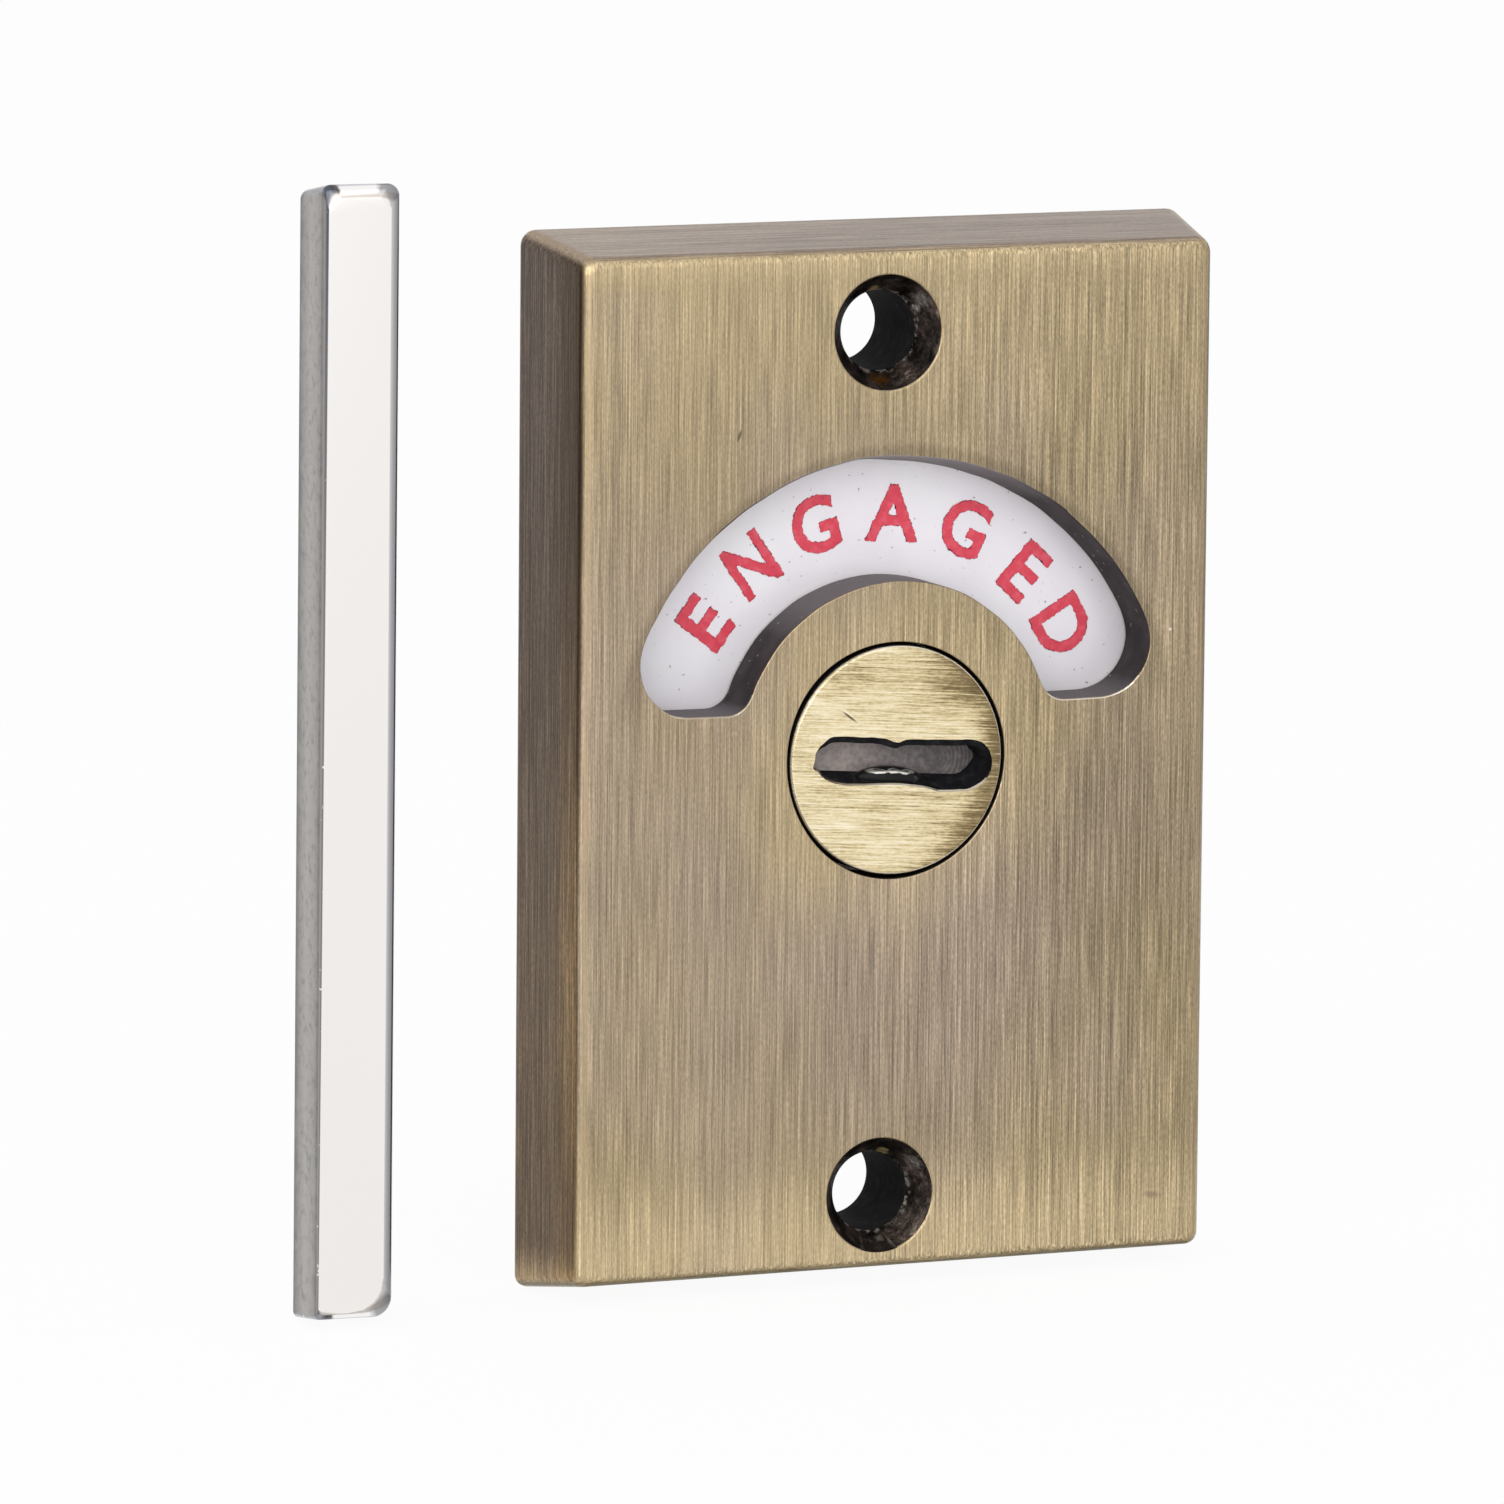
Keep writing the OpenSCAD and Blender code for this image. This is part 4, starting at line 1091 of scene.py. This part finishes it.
def buildTurn():
    spec = turnSet
    rim = spec["rim"]
    curve = [(rim * (1 - math.cos(a)), spec["barrel"] - rim * (1 - math.sin(a)))
             for a in (math.radians(step) for step in (0, 22, 45, 68, 90))]
    piece = turned("coinTurn", (0, 0), curve + [
        (spec["discDepth"], spec["barrel"]), (spec["discDepth"], spec["flange"]),
        (spec["flangeBack"], spec["flange"]), (spec["flangeBack"], spec["tail"]),
        (spec["tailBack"], spec["tail"])], 128)

    edge = slotOutline()
    browDepth, browDrop = spec["slotBrow"]
    lean = spec["slotLean"]
    place, inwards = spec["slotBrowIn"]
    brow = [(x + inwards * (x < place), z - browDrop * min(1, max(0, z - lean * x - 0.3))) for x, z in edge]
    # the cutter left the right end of the floor short and round
    roundFrom, rounder = spec["slotRound"]
    shortFrom, shorter = spec["slotShort"]
    floor = []
    for x, z in brow:
        foot = spec["slotFoot"] + lean * x + rounder * max(0, x - roundFrom) ** 2
        floor.append((x - shorter * max(0, x - shortFrom), max(z, foot)))
    # the lower lip is worn round by coins
    place, outwards = spec["slotLipOut"]
    lip = [(x - outwards * (x < place), z - spec["slotLip"] * min(1, max(0, lean * x - z))) for x, z in edge]
    slot = lofted("slotCut", [(before, lip), (0, lip), (spec["slotLip"], edge), (browDepth, brow),
                              (spec["slotDepth"], floor)], frontY)
    # the burr that the cutter left on the lower wall
    bpy.ops.object.select_all(action="DESELECT")
    bpy.ops.mesh.primitive_uv_sphere_add(
        segments=64, ring_count=32, radius=mm, location=spot(*spec["burrAt"]),
        rotation=(0, math.atan(-lean), 0), scale=spec["burrSize"])
    burr = bpy.context.object
    bpy.ops.object.transform_apply(location=True, rotation=True, scale=True)
    cutAway(slot, burr)
    cutAway(piece, slot)

    half = spec["socket"] / 2
    square = [(half, half), (-half, half), (-half, -half), (half, -half)]
    cutAway(piece, lofted("socketCut", [(spec["socketFront"], square), (past, square)], frontY))
    # rivet holes a hair off the flange's own edges, so that the cuts close
    ring = [math.radians(angle + 0.05) for angle in (30, 150, 270)]
    rounds = [("rivetCut", (spec["rivetRing"] * math.cos(a), spec["rivetRing"] * math.sin(a)),
               spec["rivetHole"], 22) for a in ring]
    rounds.append(("pinCut", spec["pinAt"], spec["pinHole"], 24))
    rounds += [("notchCut", (0, z), spec["notch"], 32) for z in (-spec["notchAt"], spec["notchAt"])]
    for name, centre, radius, sides in rounds:
        cutAway(piece, turned(name, centre, [(depth, radius) for depth in spec["flangeCuts"]], sides))

    def onBurr(centre):
        x, z = centre.x - spec["burrAt"][0], centre.z - spec["burrAt"][2]
        across, up = (x + lean * z) / spec["burrSize"][0], (z - lean * x) / spec["burrSize"][2]
        depth = (centre.y - frontY / mm - spec["burrAt"][1]) / spec["burrSize"][1]
        return abs(math.hypot(across, up, depth) - 1) < 0.03

    def surface(centre, normal):
        depth = centre.y - frontY / mm
        radius = math.hypot(centre.x, centre.z)
        # the rounded front of the rim takes a painted highlight, the barrel behind it is soot black
        if radius > spec["barrel"] - 0.2 and depth < spec["discDepth"] - 0.01:
            return rimWearAndHighlight if depth < 0.2 else soot
        if depth < 0.015 or radius > spec["barrel"] - 0.4 and depth < 0.2:
            return turnBrass
        # the slot's lower lip takes a painted highlight
        if depth < spec["slotLip"] - 0.02 and normal.y < -0.3:
            return rimWearAndHighlight
        if depth < spec["slotDepth"] + 0.1:
            if onBurr(centre):
                return burrBlack
            return slotFloor if normal.y < -0.95 else soot
        return plainBrass

    paintFaces(piece, surface, turnBrass, rimWearAndHighlight, soot, slotFloor, burrBlack, plainBrass)
    smoothPiece(piece)
    finishPiece(piece, "turn", "polished_brass", "coin_turn")


# words on the disc

wordSet = {
    "discDepth": 4.7,
    "cap": 4.3,
    "thick": 0.05,
    "gap": 0.002,  # the print lies this much clear of the disc
    "voxel": 0.055,
    "keep": 0.45,  # share of the faces that is kept
    "bold": 0.02,
    "rough": [(0.45, 0.24), (0.18, 0.2)],  # size and strength of the ragged edge in mm
    "engagedShift": (0.3, -0.09),  # the word is printed a little off the axis
    # letter, its angle, its radius and its width against the font's
    "engaged": [("E", 143.1, 17.3, 1.0), ("N", 124.9, 17.75, 0.86), ("G", 106.3, 18.0, 0.95),
                ("A", 85.9, 18.0, 1.0), ("G", 66.6, 18.1, 0.95), ("E", 47.2, 17.85, 1.0),
                ("D", 30.0, 17.65, 0.96)],
    "vacant": [("V", 322, 17.8, 1.0), ("A", 302, 17.8, 1.0), ("C", 281, 17.8, 1.0), ("A", 260, 17.8, 1.0),
               ("N", 240, 17.8, 0.9), ("T", 220, 17.8, 1.0)],
}


def buildWord(name, places, shift):
    spec = wordSet
    letters = []
    for character, angle, radius, width in places:
        bpy.ops.object.select_all(action="DESELECT")
        bpy.ops.object.text_add()
        letter = bpy.context.object
        letter.data.body = character
        letter.data.offset = spec["bold"]
        letter.data.extrude = 0.02  # a slab that is thick enough to remesh, flattened later
        bpy.ops.object.convert(target="MESH")
        points = [v.co.copy() for v in letter.data.vertices]
        low = Vector((min(p.x for p in points), min(p.y for p in points), 0))
        high = Vector((max(p.x for p in points), max(p.y for p in points), 0))
        grow = spec["cap"] * mm / (high.y - low.y)
        middle = (low + high) / 2
        lean = math.radians(angle - 90)
        for vertex, point in zip(letter.data.vertices, points):
            x, z = (point.x - middle.x) * grow * width, (point.y - middle.y) * grow
            turn = math.radians(angle)
            across = (shift[0] + radius * math.cos(turn)) * mm + x * math.cos(lean) - z * math.sin(lean)
            up = (shift[1] + radius * math.sin(turn)) * mm + x * math.sin(lean) + z * math.cos(lean)
            vertex.co = (across, deep(spec["discDepth"]) - point.z * 8 * mm, up)
        letters.append(letter)
    solo(letters[0])
    for letter in letters[1:]:
        letter.select_set(True)
    bpy.ops.object.join()
    word = bpy.context.object
    word.name = name
    finishModifier(word, "WELD", merge_threshold=0.001 * mm)
    finishModifier(word, "REMESH", mode="VOXEL", voxel_size=spec["voxel"] * mm)
    for size, strength in spec["rough"]:
        ragged = bpy.data.textures.new("raggedEdge", "CLOUDS")
        ragged.cloud_type = "COLOR"
        ragged.noise_scale = size * mm
        finishModifier(word, "DISPLACE", texture=ragged, texture_coords="LOCAL", direction="RGB_TO_XYZ",
                       strength=strength * mm)
    for vertex in word.data.vertices:
        side = -1 if vertex.co.y < deep(spec["discDepth"]) else 0
        vertex.co.y = deep(spec["discDepth"]) + (side * spec["thick"] - spec["gap"]) * mm
    finishModifier(word, "DECIMATE", decimate_type="COLLAPSE", ratio=spec["keep"])
    paintFaces(word, lambda centre, normal: red, red)
    finishPiece(word, "turn", "red_lettering")


# spindle

spindleSet = {
    "turn": -3.4,  # degrees, as it stands in its place
    "lean": 0.2,
    "size": 5.9,
    "short": 0.03,  # shorter than its solid by this much
    # the polished front flat: how far in from the left, right, foot and top, and its four corner radii
    "frontIn": (0.28, 0.85, 0.45, 1.1),
    "frontRadii": (0.8, 1.1, 0.4, 2.6),
    "fullRadii": (0.9, 0.7, 0.4, 1.4),
    "frontEdge": 0.7,
    "backIn": (0.3, 0.3, 0.3, 0.6),
    "backEdge": 0.35,
    "footRise": 0.8,  # the foot is cut out of square, higher at the front
    "topFall": 0.95,  # and the top falls towards the back
    "arrisTaper": 0.3,  # the polished flat is this much wider at the foot
}


def barRing(spec, length, inset, share, radii, depth):
    half = spec["size"] / 2
    left, right, foot, top = (amount * (1 - share) for amount in inset)
    low = -length / 2 + spec["footRise"] * (1 - depth / spec["size"])
    high = length / 2 - spec["topFall"] * depth / spec["size"]
    mixed = [a * (1 - share) + b * share for a, b in zip(radii, spec["fullRadii"])]
    outline = boxOutline(-half + left, half - right, low + foot, high - top, mixed, 8)
    taper = spec["arrisTaper"] * (1 - share) / length
    return depth, [(x + taper * z * (x < 0), z) for x, z in outline]


def buildSpindle():
    spec = spindleSet
    lo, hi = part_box("spindle")
    length = (hi.z - lo.z) / mm - spec["short"]
    turns = [math.radians(step * 18) for step in range(6)]
    rings = [barRing(spec, length, spec["frontIn"], math.sin(a), spec["frontRadii"],
                     spec["frontEdge"] * (1 - math.cos(a))) for a in turns]
    rings += [barRing(spec, length, spec["backIn"], math.sin(a), spec["fullRadii"],
                      spec["size"] - spec["backEdge"] * (1 - math.cos(a))) for a in reversed(turns)]
    bar = lofted("steelSpindle", rings, -spec["size"] / 2 * mm)
    paintFaces(bar, lambda centre, normal: barSteel, barSteel)
    bar.rotation_euler = (0, math.radians(spec["lean"]), math.radians(spec["turn"]))
    bar.location = (lo + hi) / 2
    solo(bar)
    bpy.ops.object.transform_apply(location=True, rotation=True, scale=True)
    smoothPiece(bar)
    finishPiece(bar, "loose_spindle", "bright_steel", "spindle")


antique = antiqueBrass()
turnBrass = brushedBrass("brushedBrassTurn", "x", brightSet["turnLayers"], brightSet["turn"], (0.4, 0.28),
                         brightSet["turnShadeBands"], brightSet["turnMarks"], brightSet["turnLean"])
rimWearAndHighlight = brushedBrass("rubbedBrassRimHighlight", "x", brightSet["plainLayers"], brightSet["rim"], (0.35, 0.25),
                        brightSet["rimHighlightBands"])
plainBrass = brushedBrass("plainBrassBack", "z", brightSet["plainLayers"], brightSet["plain"], (0.45, 0.32))
coverBrass = brushedBrass("plainBrassCover", "x", brightSet["plainLayers"], brightSet["plain"], (0.45, 0.32))
blackWallAndRimShade = lacqueredWall()
cone = blackenedCone()
soot = mottled("sootBlack", sootSet, Roughness=0.7, Specular_IOR_Level=0.03)
slotFloor = slotFloorBlack()
burrBlack = rubbedBurrHighlight()
enamel = whiteEnamel()
red = mottled("redPaint", redSet, Roughness=0.4)
barSteel = polishedBar()
spring = springSteel()
nylon = mottled("mouldedNylon", nylonSet, Roughness=0.45, Subsurface_Weight=0.1)
print("materials made")

buildPlate()
print("plate cut and brushed")
buildTurn()
print("coin turn slotted")
buildWord("engagedLetters", wordSet["engaged"], wordSet["engagedShift"])
buildWord("vacantLetters", wordSet["vacant"], (0, 0))
print("words printed on the disc")
buildSpindle()
print("spindle rounded")

carried = {
    "indicator_disc": enamel,
    "disc_rivets": spring,
    "stop_pin": spring,
    "front_washer": nylon,
    "thrust_washer": nylon,
    "spring_washer": spring,
    "rear_bush": nylon,
    "back_cover": coverBrass,
    "cover_screws": plainBrass,
    "click_spring": spring,
    "click_rivets": spring,
}
for nodeName, finish in carried.items():
    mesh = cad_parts[nodeName].data
    mesh.materials.clear()
    mesh.materials.append(finish)
print("carried nodes finished")


# studio

studioSet = {
    "azimuth": -23.411,
    "elevation": 8.184,
    "roll": 0.491,
    "aim": (-11.695, -9.3, 1.179),
    "distance": 865.95,
    "lens": 281.0,
    "floorSize": 3.0,
    "floorGlow": 0.94,
    "fill": 0.7,
    "keyPower": 9.7,
    "keyAt": (-0.41, -1.0, 0.28),
    "keySize": 1.5,
}


def seenDirectly(tree):
    path = addNode(tree, "ShaderNodeLightPath")
    either = addNode(tree, "ShaderNodeMath", {
        0: path.outputs["Is Camera Ray"], 1: path.outputs["Is Glossy Ray"]}, operation="MAXIMUM")
    return addNode(tree, "ShaderNodeMath", {
        0: either.outputs[0], 1: path.outputs["Is Transmission Ray"]}, operation="MAXIMUM").outputs[0]


def buildStudio():
    spec = studioSet
    scene = bpy.context.scene
    scene.view_settings.view_transform = "Standard"
    world = bpy.data.worlds.new("softStudio")
    scene.world = world
    world.use_nodes = True
    tree = world.node_tree
    strength = addNode(tree, "ShaderNodeMapRange", {
        "Value": seenDirectly(tree), "To Min": spec["fill"], "To Max": 1.0})
    background = tree.nodes["Background"]
    background.inputs["Color"].default_value = (1, 1, 1, 1)
    tree.links.new(strength.outputs[0], background.inputs["Strength"])

    bpy.ops.object.select_all(action="DESELECT")
    bpy.ops.mesh.primitive_plane_add(size=spec["floorSize"], location=(0, 0, cadBox[0].z))
    floor = bpy.context.object
    floor.name = "paleFloor"
    material, tree, shader = newMaterial("paleFloorPaper", Roughness=0.9, Specular_IOR_Level=0.0)[:3]
    shader.inputs["Base Color"].default_value = linear("#fafafa")
    white = addNode(tree, "ShaderNodeEmission", {"Strength": 1.0})
    share = addNode(tree, "ShaderNodeMath", {
        0: seenDirectly(tree), 1: spec["floorGlow"]}, operation="MULTIPLY")
    both = addNode(tree, "ShaderNodeMixShader", {
        0: share.outputs[0], 1: shader.outputs[0], 2: white.outputs[0]})
    tree.links.new(both.outputs[0], tree.nodes["Material Output"].inputs["Surface"])
    floor.data.materials.append(material)

    aim = Vector(spec["aim"]) * mm
    bpy.ops.object.light_add(type="AREA", location=spec["keyAt"])
    key = bpy.context.object
    key.name = "keySoftbox"
    key.data.energy = spec["keyPower"]
    key.data.size = spec["keySize"]
    key.visible_camera = False
    key.rotation_euler = (aim - key.location).to_track_quat("-Z", "Y").to_euler()

    azimuth, elevation = math.radians(spec["azimuth"]), math.radians(spec["elevation"])
    away = Vector((math.sin(azimuth) * math.cos(elevation), -math.cos(azimuth) * math.cos(elevation),
                   math.sin(elevation)))
    bpy.ops.object.camera_add(location=aim + away * spec["distance"] * mm)
    camera = bpy.context.object
    turnTo = (-away).to_track_quat("-Z", "Y") @ Quaternion((0, 0, 1), math.radians(spec["roll"]))
    camera.rotation_euler = turnTo.to_euler()
    camera.data.lens = spec["lens"]
    camera.data.sensor_width = 36
    camera.data.clip_start = 0.01
    camera.data.clip_end = 20
    scene.camera = camera


buildStudio()
print("studio lit")

bpy.context.view_layer.update()
